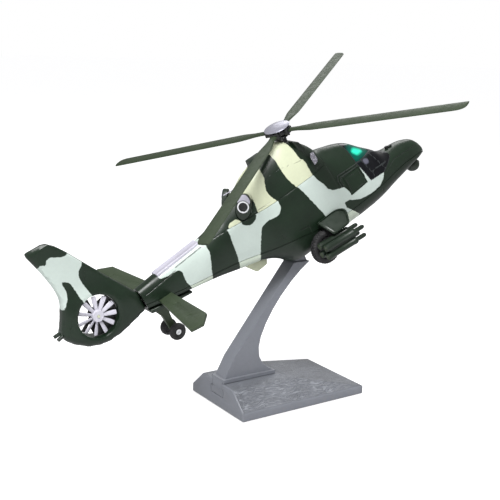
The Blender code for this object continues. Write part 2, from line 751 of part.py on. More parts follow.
# --- tail ---
FIN_OUTLINE = (
    (-122.4, -36.4), (-126.6, -28.6), (-135.2, -13.4), (-151.8, 18.8), (-165.9, 19.6), (-166.2, 17.4),
    (-163.6, 6.0), (-161.8, -6.0), (-162.2, -15.0), (-167.3, -24.6), (-171.6, -31.0), (-171.4, -35.0),
    (-168.0, -40.3), (-161.6, -46.8), (-155.6, -50.0), (-149.5, -51.6), (-142.7, -51.8), (-133.1, -50.3),
    (-122.4, -48.2),
)
DUCT_OUTLINE = (
    (-122.4, -37.2), (-130.0, -31.0), (-137.0, -20.8), (-148.0, -15.2), (-158.0, -18.2), (-165.8, -26.2),
    (-169.8, -33.4), (-166.6, -39.6), (-160.6, -45.8), (-155.0, -48.8), (-149.2, -50.4), (-142.7, -50.7),
    (-133.1, -49.3), (-122.4, -47.4),
)


def make_fin(side, name):
    """One half of the fin: a thin blade above and a thick ring of body round the fan."""
    half = FIN_HALF
    thin = 2.0
    centre = side * (GAP / 2 + thin / 2)
    fin = side_plate(f"tail_fin_{name}", FIN_OUTLINE, thin, centre, HELI)
    centre = side * (GAP / 2 + half / 2)
    duct = side_plate(f"duct_body_{name}", DUCT_OUTLINE, half, centre, HELI)
    add_bevel(duct, 2.6, 2, 50)
    join(fin, duct)
    hole = cylinder(f"duct_hole_{name}", FAN_RADIUS, 30, (FAN_U, 0, FAN_W), "Y", HELI, 48)
    cut(fin, hole)
    paint(fin, "dark_green")


def make_fan():
    hub = cylinder("tail_fan", 3.4, 3.6, (FAN_U, -2.6, FAN_W), "Y", HELI, 24, bevel=0.5)
    for k in range(FAN_BLADES):
        angle = 2 * math.pi * (k + 0.25) / FAN_BLADES
        blade = box(f"fan_blade_{k}", (2.6, -1.55, -0.35), (11.4, 1.55, 0.35), HELI)
        turn = Matrix.Rotation(angle, 3, "Z") @ Matrix.Rotation(math.radians(28), 3, "X")
        place = Matrix.Rotation(-math.pi / 2, 3, "X")
        reach = place @ turn @ Vector((7.0, 0, 0))
        blade.location = (Vector((FAN_U, -2.6, FAN_W)) + reach) * MM
        blade.rotation_euler = (place @ turn).to_euler()
        join(hub, blade)
    cut(hub, cylinder("fan_bore", 0.85, 10, (FAN_U, -2.6, FAN_W), "Y", HELI, 16))
    paint(hub, "white")


def make_fan_mount():
    spider = cylinder("fan_spider", 3.2, 1.6, (FAN_U, 3.2, FAN_W), "Y", HELI, 24)
    for k in range(3):
        angle = math.radians(90 + 120 * k)
        strut = box(f"spider_strut_{k}", (2.0, 2.5, -0.8), (FAN_RADIUS - GAP, 3.9, 0.8), HELI)
        reach = (2.0 + FAN_RADIUS - GAP) / 2
        middle = (FAN_U + reach * math.cos(angle), 3.2, FAN_W + reach * math.sin(angle))
        strut.location = Vector(middle) * MM
        strut.rotation_euler = (0, -angle, 0)
        join(spider, strut)
    cut(spider, cylinder("spider_bore", 0.85, 10, (FAN_U, 3.2, FAN_W), "Y", HELI, 16))
    paint(spider, "black")
    axle = turned("fan_axle", [(0, 4.6), (0.78, 4.6), (0.78, -4.8), (1.9, -4.8), (1.6, -5.6), (0, -5.9)],
                  (FAN_U, 0, FAN_W), "Y", HELI, 20)
    axle.rotation_euler = (math.pi / 2, 0, 0)
    paint(axle, "cream")


TAILPLANE_OUTLINE = (
    (-104.9, 0.0), (-110.8, 57.7), (-118.1, 65.8), (-124.7, 62.8), (-113.0, 0.0),
)


def make_stabiliser():
    """A tailplane right across the boom, in one piece, that rises a little towards its tips."""
    half = TAILPLANE_THICKNESS / 2
    bm = bmesh.new()

    def layer(side, lift):
        return [(u, side * y, TAILPLANE_W + TAILPLANE_RISE * y + lift) for u, y in TAILPLANE_OUTLINE]

    corners = {}
    for side in (-1, 1):
        for lift in (-half, half):
            for k, point in enumerate(layer(side, lift)):
                key = (side if 0 < k < len(TAILPLANE_OUTLINE) - 1 else 0, lift, k)
                if key not in corners:
                    corners[key] = bm.verts.new(point)
    for side in (-1, 1):
        loops = []
        for lift in (-half, half):
            keys = [(side if 0 < k < len(TAILPLANE_OUTLINE) - 1 else 0, lift, k)
                    for k in range(len(TAILPLANE_OUTLINE))]
            loops.append([corners[key] for key in keys])
        low, high = loops
        bm.faces.new(low)
        bm.faces.new(high)
        for k in range(len(low) - 1):
            bm.faces.new((low[k], low[k + 1], high[k + 1], high[k]))
    wing = object_from_bmesh("stabiliser", bm, HELI, smooth=False)
    add_bevel(wing, 0.4, 1, 50)
    paint(wing, "olive")


def tailplane_slot(name):
    """The opening through the boom's two shells that the tailplane passes through."""
    return box(name, (-115.4, -12.0, -50.2), (-104.3, 12.0, -46.0), HELI)


def make_tail_block():
    """A shallow fairing under the boom that carries the tail wheel's strut."""
    outline = [(-121.4, -49.7), (-93.2, -55.3), (-93.2, -57.0), (-108.0, -54.8), (-121.4, -52.2)]
    block = side_plate("tail_block", outline, 10.4, 0, HELI, bevel=0.4)
    paint(block, "dark_green")


def make_tail_gear():
    outline = [(-118.4, -53.2), (-109.0, -55.2), (-110.6, -60.0), (-111.4, -72.6), (-114.6, -72.6),
               (-115.4, -60.0)]
    strut = side_plate("tail_wheel_strut", outline, 3.0, 0, HELI)
    cut(strut, cylinder("strut_bore", 0.85, 10, (TAIL_WHEEL_U, 0, TAIL_WHEEL_W), "Y", HELI, 16))
    paint(strut, "olive")
    middle = (TAIL_WHEEL_U, 0, TAIL_WHEEL_W)
    axle = cylinder("tail_wheel_axle", 0.8, 2 * TAIL_WHEEL_Y + 2.0, middle, "Y", HELI, 16)
    paint(axle, "white")
    for side, name in ((-1, "right"), (1, "left")):
        half = 1.7
        radius = TAIL_WHEEL_RADIUS
        profile = [(1.1, half), (2.2, half), (2.6, half - 0.5), (4.4, half - 0.2), (radius - 0.3, half - 0.6),
                   (radius, half - 1.0), (radius, -half + 1.0), (radius - 0.3, -half + 0.6),
                   (4.4, -half + 0.2), (2.6, -half + 0.5), (2.2, -half), (1.1, -half), (1.1, half)]
        centre = (TAIL_WHEEL_U, side * TAIL_WHEEL_Y, TAIL_WHEEL_W)
        wheel = turned(f"tail_wheel_{name}", profile, centre, "Y", HELI, 18)
        paint(wheel, "rubber")


# --- rotor ---
def make_rotor():
    plane = ROTOR_PLANE_W
    mast = cylinder("rotor_mast", 1.9, 38.0, (ROTOR_HUB_U, 0, plane - 21.6), "W", HELI, 20)
    paint(mast, "steel")
    dish = [(2.2, -2.6), (5.2, -2.6), (6.0, -3.3), (5.6, -4.0), (3.1, -4.4), (3.1, -8.0), (2.2, -8.0),
            (2.2, -2.6)]
    swash = turned("swashplate", dish, (ROTOR_HUB_U, 0, plane), "W", HELI, 20)
    paint(swash, "black")
    hub = cylinder("rotor_hub", 6.6, 4.0, (ROTOR_HUB_U, 0, plane - 0.2), "W", HELI, 32, bevel=0.4)
    for k in range(4):
        azimuth = math.radians(FIRST_BLADE_AZIMUTH + 90 * k + BLADE_LEAD[k])
        grip = box(f"grip_{k}", (5.0, -3.4, -2.0), (8.6, 3.4, 1.8), HELI)
        reach = Matrix.Rotation(azimuth, 3, "Z") @ Vector((6.8, 0.0, 0.0))
        grip.location = (Vector((ROTOR_HUB_U, 0.0, plane - 0.2)) + reach) * MM
        grip.rotation_euler = (0, 0, azimuth)
        join(hub, grip)
    paint(hub, "olive")
    cap = turned("hub_cap", [(0, 4.0), (4.0, 3.8), (7.2, 3.3), (8.4, 2.7), (8.3, 2.2), (0, 2.2)],
                 (ROTOR_HUB_U, 0, plane), "W", HELI, 28)
    paint(cap, "silver")
    for k in range(4):
        make_blade(k)


def make_blade(k):
    """A slim blade on a narrow root; its plan widens past the root and its tip is cropped."""
    length = ROTOR_RADIUS
    half = BLADE_CHORD / 2
    outline = [(BLADE_ROOT, -2.6), (17.0, -2.4), (26.0, -half), (length - 6, -half),
               (length - 1.6, -half + 1.4), (length, -half + 4.0), (length - 1.0, half - 0.6),
               (length - 3, half), (26.0, half), (17.0, 2.4), (BLADE_ROOT, 2.6)]
    azimuth = math.radians(FIRST_BLADE_AZIMUTH + 90 * k + BLADE_LEAD[k])
    droop = math.radians(BLADE_DROOP[k])
    rotation = Euler((math.radians(BLADE_FEATHER), droop, azimuth), "XYZ")
    blade = plate(f"rotor_blade_{k + 1}", outline, BLADE_THICKNESS, HELI,
                  (ROTOR_HUB_U, 0, ROTOR_PLANE_W), rotation, bevel=0.3)
    paint(blade, "olive")


# --- running gear ---
def gear_outline(teeth, module, phase):
    """Tapered teeth, slimmer than half the pitch so that the mesh runs free."""
    pitch_radius = teeth * module / 2
    tip, root = pitch_radius + 0.8 * module, pitch_radius - 1.15 * module
    points = []
    for k in range(teeth):
        middle = 2 * math.pi * k / teeth + phase
        step = 2 * math.pi / teeth
        for radius, share in ((root, -0.27), (tip, -0.12), (tip, 0.12), (root, 0.27)):
            angle = middle + share * step
            points.append((radius * math.cos(angle), radius * math.sin(angle)))
    return points


def make_gear(name, teeth, phase, width, y, centre):
    outline = gear_outline(teeth, GEAR_MODULE, phase)
    return plate(name, outline, width, HELI, (centre[0], y, centre[1]), SIDE_VIEW)


def mesh_phase(from_centre, from_teeth, from_phase, to_centre, to_teeth):
    """Phase of the second gear that puts a gap where the first gear's tooth points."""
    way = math.atan2(to_centre[1] - from_centre[1], to_centre[0] - from_centre[0])
    turn = (way - from_phase) * from_teeth
    back = way + math.pi
    return back + (turn - math.pi) / to_teeth


def make_running_gear():
    axle = cylinder("main_axle", AXLE_RADIUS, 2 * WHEEL_Y - 2.0, (WHEEL_U, 0, WHEEL_W), "Y", HELI, 20)
    paint(axle, "steel")
    half = WHEEL_WIDTH / 2
    radius = WHEEL_RADIUS
    for side, name in ((-1, "right"), (1, "left")):
        centre = (WHEEL_U, side * WHEEL_Y, WHEEL_W)
        tyre_profile = [(7.0, half - 0.6), (8.2, half), (radius - 0.8, half - 0.3), (radius, half - 1.2),
                        (radius, -half + 1.2), (radius - 0.8, -half + 0.3), (8.2, -half), (7.0, -half + 0.6),
                        (7.0, half - 0.6)]
        tyre = turned(f"main_tyre_{name}", tyre_profile, centre, "Y", HELI, 28)
        paint(tyre, "rubber")
        hub = cylinder(f"wheel_hub_{name}", 6.7, WHEEL_WIDTH - 1.0, centre, "Y", HELI, 28, bevel=0.4)
        inboard = (WHEEL_U, side * (WHEEL_Y - 2.0), WHEEL_W)
        cut(hub, cylinder(f"hub_bore_{name}", AXLE_RADIUS + 0.15, 6.0, inboard, "Y", HELI, 20))
        paint(hub, "black")
    axle_centre, idler_centre = (WHEEL_U, WHEEL_W), (IDLER_U, IDLER_W)
    barrel_centre = (BARREL_U, BARREL_W)
    idler_phase = mesh_phase(axle_centre, AXLE_TEETH, 0.0, idler_centre, IDLER_TEETH)
    barrel_phase = mesh_phase(idler_centre, IDLER_TEETH, idler_phase, barrel_centre, BARREL_TEETH)
    pinion = make_gear("axle_gear", AXLE_TEETH, 0.0, 4.0, 0, axle_centre)
    cut(pinion, cylinder("pinion_bore", AXLE_RADIUS + 0.15, 8, (WHEEL_U, 0, WHEEL_W), "Y", HELI, 20))
    paint(pinion, "white")
    idler = make_gear("idler_gear", IDLER_TEETH, idler_phase, 3.0, 0, idler_centre)
    join(idler, cylinder("idler_pin", 0.8, 13.0, (IDLER_U, 0, IDLER_W), "Y", HELI, 10))
    paint(idler, "white")
    barrel = make_gear("spring_barrel", BARREL_TEETH, barrel_phase, 3.0, 0, barrel_centre)
    join(barrel, cylinder("barrel_drum", 4.6, 5.6, (BARREL_U, 4.0, BARREL_W), "Y", HELI, 16))
    join(barrel, cylinder("barrel_pin", 0.8, 19.4, (BARREL_U, 1.3, BARREL_W), "Y", HELI, 10))
    paint(barrel, "white")


def make_motor_frame():
    """Two side plates on a bridge that carry the pull-back motor's pins."""
    outline = [(14.0, -70.6), (14.0, -54.4), (-6.0, -54.4), (-9.0, -66.0), (-9.0, -75.0), (-1.6, -75.0),
               (6.0, -70.6)]
    frame = side_plate("motor_frame", outline, 1.2, -5.4, HELI)
    join(frame, side_plate("motor_plate_left", outline, 1.2, 9.6, HELI))
    join(frame, box("motor_bridge", (-5.0, -5.7, -56.2), (13.4, 9.9, -54.9), HELI))
    cut(frame, cylinder("frame_idler_bore", 1.0, 40, (IDLER_U, 0, IDLER_W), "Y", HELI, 16))
    cut(frame, cylinder("frame_barrel_bore", 1.0, 40, (BARREL_U, 0, BARREL_W), "Y", HELI, 16))
    paint(frame, "silver")


def build():
    make_stand_base()
    make_stand_arm()
    make_upper_hull()
    make_lower_hull()
    make_hull_screws()
    make_cowling()
    make_glazing()
    make_cockpit()
    make_small_fittings()
    for side, name in ((-1, "right"), (1, "left")):
        make_exhaust(side, name)
        make_door(side, name)
        make_wing(side, name)
        make_missile_rack(side, name)
        make_intake(side, name)
        make_fin(side, name)
    make_fan()
    make_fan_mount()
    make_stabiliser()
    make_tail_block()
    make_tail_gear()
    make_rotor()
    make_running_gear()
    make_motor_frame()


build()
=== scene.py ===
"""Looks for the toy helicopter on its display stand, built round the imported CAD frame.

Row frame: metres, +X to the nose, +Y to port, +Z up. Helicopter frame: U forward, Y port, W up the mast, in
millimetres in the tables below; pieces are made in that frame and placed by its matrix.
"""

import math

import bmesh
import bpy
import numpy as np
from mathutils import Matrix, Vector
from mathutils.geometry import delaunay_2d_cdt


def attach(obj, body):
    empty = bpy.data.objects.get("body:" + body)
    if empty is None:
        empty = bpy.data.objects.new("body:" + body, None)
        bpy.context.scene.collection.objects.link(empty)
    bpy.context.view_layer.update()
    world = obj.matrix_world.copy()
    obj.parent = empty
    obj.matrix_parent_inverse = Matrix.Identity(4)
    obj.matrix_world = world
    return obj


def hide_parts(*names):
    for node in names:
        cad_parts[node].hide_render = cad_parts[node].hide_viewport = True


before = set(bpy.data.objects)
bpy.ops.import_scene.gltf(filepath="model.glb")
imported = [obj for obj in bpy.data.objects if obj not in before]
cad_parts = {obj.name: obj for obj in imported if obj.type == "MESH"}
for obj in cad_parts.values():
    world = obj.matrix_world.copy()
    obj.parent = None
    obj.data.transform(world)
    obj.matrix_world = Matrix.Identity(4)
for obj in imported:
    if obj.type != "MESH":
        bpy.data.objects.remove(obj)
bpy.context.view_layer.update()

MM = 0.001
TAU = 2 * math.pi
SHARP = math.radians(35)
SKIN_SHARP = math.radians(30)
TYRE_SHARP = math.radians(28)
SIDES = ((-1, "right"), (1, "left"))

# --- the CAD's own figures, which the visible pieces follow ---
PITCH = math.radians(28.4)
HELI = Matrix.Translation(Vector((-13.63, 0.0, 172.17)) * MM) @ Matrix.Rotation(-PITCH, 4, "Y")
WALL = 1.2
SEAM_GAP = 0.2
DECK_W = -34.8
COWL_BASE = -34.5
COWL_REAR, COWL_FRONT = -66.8, 20.2
HUB = (5.5, 0.0, -3.6)
MAST_HOLE = 3.4
ROTOR_RADIUS = 125.0
BLADE_AZIMUTHS = (-67.8, 30.0, 121.0, 212.5)
BLADE_DROOPS = (-0.6, 1.8, -0.1, -0.4)
BLADE_FEATHERS = (3.0, 4.0, -4.0, -5.0)
FAN_U, FAN_Y, FAN_W, FAN_RADIUS = -149.0, -2.6, -33.7, 12.3
FAN_BLADES = 11
WHEEL = (-7.0, 21.9, -77.5)
TAIL_WHEEL = (-113.0, 5.6, -71.5)
RACK_CENTRE, RACK_PITCH = (0.4, 31.4, -75.6), math.radians(6.2)
WING_ROOT = (0.0, 18.5, -62.3)
BUTTON_LOW, BUTTON_HIGH = (-22.6, -3.2, -19.0), (-12.2, 3.2, -8.6)
EXHAUST_CENTRE, EXHAUST_LONG, EXHAUST_SHORT = (-42.1, 10.0, -27.35), 8.0, 4.8
TAILPLANE = ((-104.9, 0.0), (-110.8, 57.7), (-118.1, 65.8), (-124.7, 62.8), (-113.0, 0.0))
TAILPLANE_W, TAILPLANE_RISE = -48.8, 0.103

TOP_LINE = (
    (-122, -35.6), (-108, -34.5), (-74, -32.8), (-66, -31.6), (-58, -28.6), (-46, -23.6), (-37, -20),
    (-28, -14.6), (-13, -10.2), (-2, -8.2), (6, -10.6), (12, -15.2), (20.4, -23.8), (21.2, -27),
    (31, -30.4), (40, -33.2), (47, -36.4), (57, -45), (63, -50), (70, -56.2), (77, -58.8),
    (88, -59.8), (98, -63), (102, -67), (103.5, -70),
)
SEAM_LINE = (
    (-122, -45), (-94, -51), (-59, -56), (-40, -59.5), (-20, -63.5), (0, -68), (18, -70.4),
    (54, -71.4), (80, -71.2), (98, -73), (103.5, -74.4),
)
BOTTOM_LINE = (
    (-122, -49.2), (-77, -58), (-58, -63), (-46, -65.4), (-39, -68.6), (-32, -74), (-26, -80),
    (-18, -82), (5, -82), (20, -81.6), (33, -82.2), (48, -82.4), (74, -80.2), (88, -78.6),
    (98, -77.4), (103.5, -76.4),
)
HALF_WIDTH = (
    (-122, 5.4), (-94, 7.4), (-70, 9.6), (-58, 11.4), (-46, 14.4), (-34, 17.2), (-20, 18), (6, 18),
    (24, 17.4), (40, 16.2), (50, 15), (60, 13.4), (70, 11.4), (80, 10), (90, 8.6), (98, 6.8),
    (103.5, 4.6),
)
# windscreen, door and tail seen from the side
WINDSCREEN = ((41.5, -30), (42.2, -47), (47.2, -63), (61, -65), (73.5, -60.4), (74.5, -52))
DOOR = ((27.4, -49.2), (42, -49.6), (44.4, -62.2), (27.8, -62.2))
FIN_OUTLINE = (
    (-122.4, -36.4), (-126.6, -28.6), (-135.2, -13.4), (-151.8, 18.8), (-165.9, 19.6), (-166.2, 17.4),
    (-163.6, 6), (-161.8, -6), (-162.2, -15), (-167.3, -24.6), (-171.6, -31), (-171.4, -35),
    (-168, -40.3), (-161.6, -46.8), (-155.6, -50), (-149.5, -51.6), (-142.7, -51.8), (-133.1, -50.3),
    (-122.4, -48.2),
)

# --- where the paler paint lies, seen from the side ---
PALE_AREAS = (
    # broad diagonal band, the strip under the door and the belly patch
    ((-6.6, -33), (-5.4, -36.3), (-3.2, -41.5), (-1.4, -47.8), (0.9, -53.8), (3.1, -60.3), (5.2, -66.5),
     (7.5, -74), (9, -86), (31.5, -86), (29.6, -78), (26.8, -74.4), (24.4, -71), (22.5, -68.8),
     (19.9, -65.4), (20.7, -63), (24.6, -63.2), (27.8, -65.5), (33.9, -68.3), (39.4, -69.6),
     (45.6, -70.4), (52, -70.6), (55.4, -69.3), (58.5, -67.8), (60.2, -65.3), (60.6, -62),
     (47, -58), (45.4, -50.4), (43, -48.4), (44.4, -62.2), (27.8, -61.9), (26.3, -54.6),
     (21.7, -53.1), (16.4, -51), (13.3, -48.2), (11.9, -43.4), (9.8, -39.9), (7.9, -35.2), (7, -33)),
    # the blob that hangs below the cowling and runs down the flank
    ((-22, -33), (-22.1, -36.9), (-22.6, -39.7), (-24.9, -42.1), (-28.3, -42.5), (-33.9, -41.6),
     (-37.8, -42.5), (-40.3, -44.8), (-42.8, -49.7), (-45.5, -55.3), (-47.6, -60.5), (-49, -72),
     (-63, -72), (-60.9, -57.9), (-59.8, -52), (-59.3, -47.4), (-58.9, -43.9), (-58.3, -40.5),
     (-57.4, -37.2), (-57, -33), (-48, -33), (-48.3, -36.2), (-46.1, -38.4), (-41.9, -38.5),
     (-38.9, -36.4), (-37.2, -33)),
    # boom
    ((-72.8, -28), (-73.4, -38.5), (-74.3, -42), (-76.6, -47.2), (-79.1, -54), (-81, -64),
     (-92, -64), (-93.4, -51.1), (-94.7, -48.8), (-94.6, -44.9), (-93.8, -40.3), (-96, -38.4),
     (-104, -37.8), (-107.6, -37), (-107.8, -28)),
    # fin
    ((-140.6, -1.4), (-145.3, -4.9), (-147.3, -7.6), (-147.3, -12.7), (-147, -15.6), (-146.3, -20.7),
     (-146, -26), (-152.3, -26), (-152.6, -15.8), (-152.8, -10.6), (-153.5, -7.8), (-155.2, -5.6),
     (-157, -4.3), (-157.3, -8.3), (-157.7, -12.6), (-159.8, -15.7), (-162.3, -18.1), (-165.5, -19.8),
     (-171, -16), (-168, -3), (-168, 7), (-162.3, 10.4), (-159.7, 7.8), (-157.5, 11.2),
     (-154.8, 10.2), (-148.8, 6.9), (-146.7, 6.8), (-142, 9.4), (-134, 2)),
)
CREAM_AREAS = (
    ((4.6, 0), (4, -11), (5.1, -13.1), (5.3, -21.5), (7.5, -24.1), (7.6, -29), (7.7, -35.4),
     (7.7, -40), (-5.6, -40), (-6.3, -34.8), (-8, -31), (-9.5, -27.6), (-9.9, -19.5),
     (-9.3, -14.6), (-9.6, -11.5), (-11, 0)),
    ((-18, 0), (-19.6, -11.6), (-20.8, -15.9), (-21.5, -19), (-23.7, -22.5), (-25.4, -25.7),
     (-25.1, -29.5), (-23, -33.8), (-22.1, -40), (-38.6, -40), (-36.3, -33.4), (-35.4, -29.7),
     (-34.9, -25.6), (-35.8, -22.6), (-38.5, -20.5), (-40.5, -16), (-41, 0)),
    ((-57.6, -40), (-57, -36), (-55.3, -33.2), (-52.8, -31.7), (-49.7, -31.8), (-48.2, -33.8),
     (-47.2, -40)),
)
# roof-pane areas: teal where light comes through, a painted highlight streak, and a painted reflection
TEAL_AREA = (
    (41.4, -38), (48.5, -36.4), (55.3, -41), (60.6, -46.5), (56.2, -48.4), (50, -47.6), (43.3, -46.8),
    (41.4, -43),
)
PAINTED_HIGHLIGHT_AREA = ((44.2, -40.3), (47.6, -39.8), (50, -41.3), (54.6, -45.4), (50, -44.6), (46.8, -44))
PAINTED_REFLECTION_AREA = ((48.1, -47.3), (53.7, -49.5), (53.2, -53.2), (48, -52.4))

# --- panel lines in the side view ---
HULL_GROOVES = (
    ((22.8, -46.6), (42, -48.2)), ((22.6, -48.2), (41.6, -49)), ((22.8, -46.6), (23.2, -53.6)),
    ((24.4, -48.6), (25, -54.2)), ((-34, -57.6), (-10, -60.6)), ((-10, -60.6), (-9.4, -67)),
    ((-96, -36.6), (-76, -35.2)), ((-120, -40), (-97, -38)), ((-30.6, -54.6), (-28, -55)),
    ((-28, -55), (-27.8, -57.4)), ((-27.8, -57.4), (-30.4, -57)), ((-30.4, -57), (-30.6, -54.6)),
    ((62, -66.5), (74, -63.4)), ((74, -63.4), (98, -66.5)), ((54, -74), (54.6, -80.8)),
    ((34, -74.4), (34.6, -81.6)), ((-121.4, -40), (-121.4, -50)),
)
COWL_GROOVES = (
    ((-22, -20.4), (-10.5, -20)), ((-10.5, -20), (5.8, -23.2)), ((-40, -33.2), (18, -33.2)),
    ((11, -16), (12.5, -34)),
)
CANOPY_FRAMES = (
    ((42, -47.2), (55.9, -48.6)), ((55.9, -48.6), (60.6, -49.6)), ((60.6, -49.6), (74, -58.6)),
    ((47.4, -48), (52.6, -64)), ((57.6, -49.4), (63.4, -64.4)), ((41.6, -30), (42.3, -47)),
    ((42.3, -47), (47.4, -63)), ((47.4, -63), (61, -65)), ((61, -65), (73.6, -60.4)),
    ((52, -58.4), (66.6, -60.4)),
)


# --- numbers ---
def smooth_line(table):
    """A curve through (u, value) points that never overshoots between them."""
    us = np.array([p[0] for p in table], float)
    vs = np.array([p[1] for p in table], float)
    slopes = np.diff(vs) / np.diff(us)
    product = slopes[:-1] * slopes[1:]
    total = np.where(np.abs(slopes[:-1] + slopes[1:]) < 1e-9, 1.0, slopes[:-1] + slopes[1:])
    inner = np.where(product <= 0, 0.0, 2 * product / total)
    tangents = np.concatenate([slopes[:1], inner, slopes[-1:]])

    def value_at(u):
        u = np.clip(np.asarray(u, float), us[0], us[-1])
        i = np.clip(np.searchsorted(us, u, side="right") - 1, 0, len(us) - 2)
        span = us[i + 1] - us[i]
        t = (u - us[i]) / span
        return (
            (2 * t**3 - 3 * t**2 + 1) * vs[i]
            + (t**3 - 2 * t**2 + t) * span * tangents[i]
            + (3 * t**2 - 2 * t**3) * vs[i + 1]
            + (t**3 - t**2) * span * tangents[i + 1]
        )

    return value_at


top_at, seam_at = smooth_line(TOP_LINE), smooth_line(SEAM_LINE)
bottom_at, half_width_at = smooth_line(BOTTOM_LINE), smooth_line(HALF_WIDTH)


def crown_power(u):
    """Squareness of the upper sections, more towards the ends."""
    blend = min(max((abs(u) - 56.0) / 8.0, 0.0), 1.0)
    return 2.2 + 0.4 * blend * blend * (3 - 2 * blend)


def side_y(u, w):
    """Half width of the upper body at a height."""
    low, high = float(seam_at(u)), float(top_at(u))
    share = min(max((w - low) / (high - low), 0.0), 1.0)
    power = crown_power(u)
    return float(half_width_at(u)) * (1 - share**power) ** (1 / power)


def rounded(outline):
    """Chaikin corner cutting of a closed outline, twice."""
    points = np.array(outline, float)
    for _ in range(2):
        after = np.roll(points, -1, axis=0)
        points = np.stack([0.8 * points + 0.2 * after, 0.2 * points + 0.8 * after], 1).reshape(-1, 2)
    return points


def line_distance(points, segments):
    """Distance of each (u, w) point to the nearest of the segments."""
    best = np.full(len(points), 1e9)
    for start, end in segments:
        start, end = np.array(start, float), np.array(end, float)
        way = end - start
        t = np.clip((points - start) @ way / max(way @ way, 1e-12), 0, 1)
        best = np.minimum(best, np.hypot(*(points - start - t[:, None] * way).T))
    return best


def area_distance(points, outlines, soften=True):
    """Signed distance to the nearest edge of the areas, above zero inside one of them."""
    best = np.full(len(points), -1e9)
    for outline in outlines:
        loop = rounded(outline) if soften else np.array(outline, float)
        after = np.roll(loop, -1, axis=0)
        near = line_distance(points, list(zip(loop, after)))
        inside = np.zeros(len(points), bool)
        for (u0, w0), (u1, w1) in zip(loop, after):
            crosses = (w0 > points[:, 1]) != (w1 > points[:, 1])
            at = (u1 - u0) * (points[:, 1] - w0) / (w1 - w0 if w1 != w0 else 1e-9) + u0
            inside ^= crosses & (points[:, 0] < at)
        best = np.maximum(best, np.where(inside, near, -near))
    return best


# --- materials ---
class Graph:
    """A node material in the making."""

    def __init__(self, name, roughness=0.45, metallic=0.0, **sockets):
        self.material = bpy.data.materials.new(name)
        self.material.use_nodes = True
        self.nodes = self.material.node_tree.nodes
        self.links = self.material.node_tree.links
        self.shader = self.nodes["Principled BSDF"]
        self.shader.inputs["Roughness"].default_value = roughness
        self.shader.inputs["Metallic"].default_value = metallic
        for socket, value in sockets.items():
            self.shader.inputs[socket.replace("_", " ")].default_value = value
        self.place = self.nodes.new("ShaderNodeTexCoord").outputs["Object"]

    def node(self, kind, inputs=None, **settings):
        made = self.nodes.new("ShaderNode" + kind)
        for key, value in settings.items():
            setattr(made, key, value)
        for key, value in (inputs or {}).items():
            if hasattr(value, "links"):
                self.links.new(value, made.inputs[key])
            else:
                made.inputs[key].default_value = value
        return made

    def noise(self, size_mm, detail=2.0, roughness=0.5, vector=None):
        made = self.node("TexNoise", {"Vector": vector or self.place, "Scale": 1000.0 / size_mm,
                                      "Detail": detail, "Roughness": roughness})
        return made.outputs["Fac"]

    def math(self, operation, a, b):
        return self.node("Math", {0: a, 1: b}, operation=operation).outputs[0]

    def ramp(self, value, low, high, to_low=0.0, to_high=1.0):
        made = self.node("MapRange", {"Value": value, "From Min": low, "From Max": high,
                                      "To Min": to_low, "To Max": to_high})
        return made.outputs["Result"]

    def vary(self, size_mm, detail, low, high):
        """Noise of a size, spread between two levels."""
        return self.ramp(self.noise(size_mm, detail), 0.3, 0.7, low, high)

    def mix(self, factor, one, two, blend="MIX"):
        made = self.node("Mix", data_type="RGBA", blend_type=blend)
        for socket, value in ((made.inputs[0], factor), (made.inputs[6], one), (made.inputs[7], two)):
            if hasattr(value, "links"):
                self.links.new(value, socket)
            elif isinstance(value, tuple):
                socket.default_value = (*value, 1.0)
            else:
                socket.default_value = value
        return made.outputs[2]

    def attribute(self, name):
        return self.node("Attribute", attribute_name=name).outputs["Fac"]

    def colour(self, value):
        self.links.new(value, self.shader.inputs["Base Color"])

    def rough(self, value):
        self.links.new(value, self.shader.inputs["Roughness"])

    def bump(self, height, depth_mm, strength=1.0):
        before = self.shader.inputs["Normal"].links
        inputs = {"Height": height, "Distance": depth_mm * MM, "Strength": strength}
        if before:
            inputs["Normal"] = before[0].from_socket
        made = self.node("Bump", inputs)
        self.links.new(made.outputs["Normal"], self.shader.inputs["Normal"])


def tinted(graph, colour, spread, size_mm=14.0, fine_mm=1.4):
    """The colour with slow and fine variation, as in sprayed or moulded surfaces."""
    slow = graph.vary(size_mm, 2.0, 1 - spread, 1 + spread)
    fine = graph.vary(fine_mm, 3.0, 1 - spread * 0.5, 1 + spread * 0.5)
    amount = graph.math("MULTIPLY", slow, fine)
    shade = graph.node("CombineColor", {0: amount, 1: amount, 2: amount}).outputs[0]
    return graph.mix(1.0, colour, shade, "MULTIPLY")


GREEN = (0.0075, 0.0180, 0.0088)
PALE = (0.51, 0.585, 0.545)
CREAM = (0.60, 0.635, 0.455)
LAVENDER = (0.44, 0.43, 0.50)
RAGGED = 0.25


def spray(graph, dark, light):
    """Two-tone paint that changes over at the mesh's stored distance to the lighter area."""
    wobble = graph.vary(2.2, 2.0, -RAGGED, RAGGED)
    inside = graph.ramp(graph.math("ADD", graph.attribute("paint"), wobble), -0.12, 0.12)
    return graph.mix(inside, tinted(graph, dark, 0.16), tinted(graph, light, 0.035))


def sprayed_paint(name, dark, light, roughness=0.34, groove_shade_strength=0.7):
    """Satin two-tone paint on a casting, with panel lines darkened by painted shade in their grooves."""
    graph = Graph(name, roughness, Specular_IOR_Level=0.4)
    colour = spray(graph, dark, light)
    groove_with_painted_shade = graph.ramp(graph.attribute("groove"), 0.12, 0.42, 1.0, 0.0)
    # painted shade: the panel lines and creases are darkened towards near black
    colour = graph.mix(graph.math("MULTIPLY", groove_with_painted_shade, groove_shade_strength), colour, (0.008, 0.012, 0.009))
    graph.colour(colour)
    graph.rough(graph.vary(6.0, 3.0, roughness - 0.06, roughness + 0.08))
    graph.bump(graph.noise(0.9, 2.0), 0.05, 0.35)
    graph.bump(graph.math("SUBTRACT", 1.0, groove_with_painted_shade), 0.35, 0.8)
    return graph.material


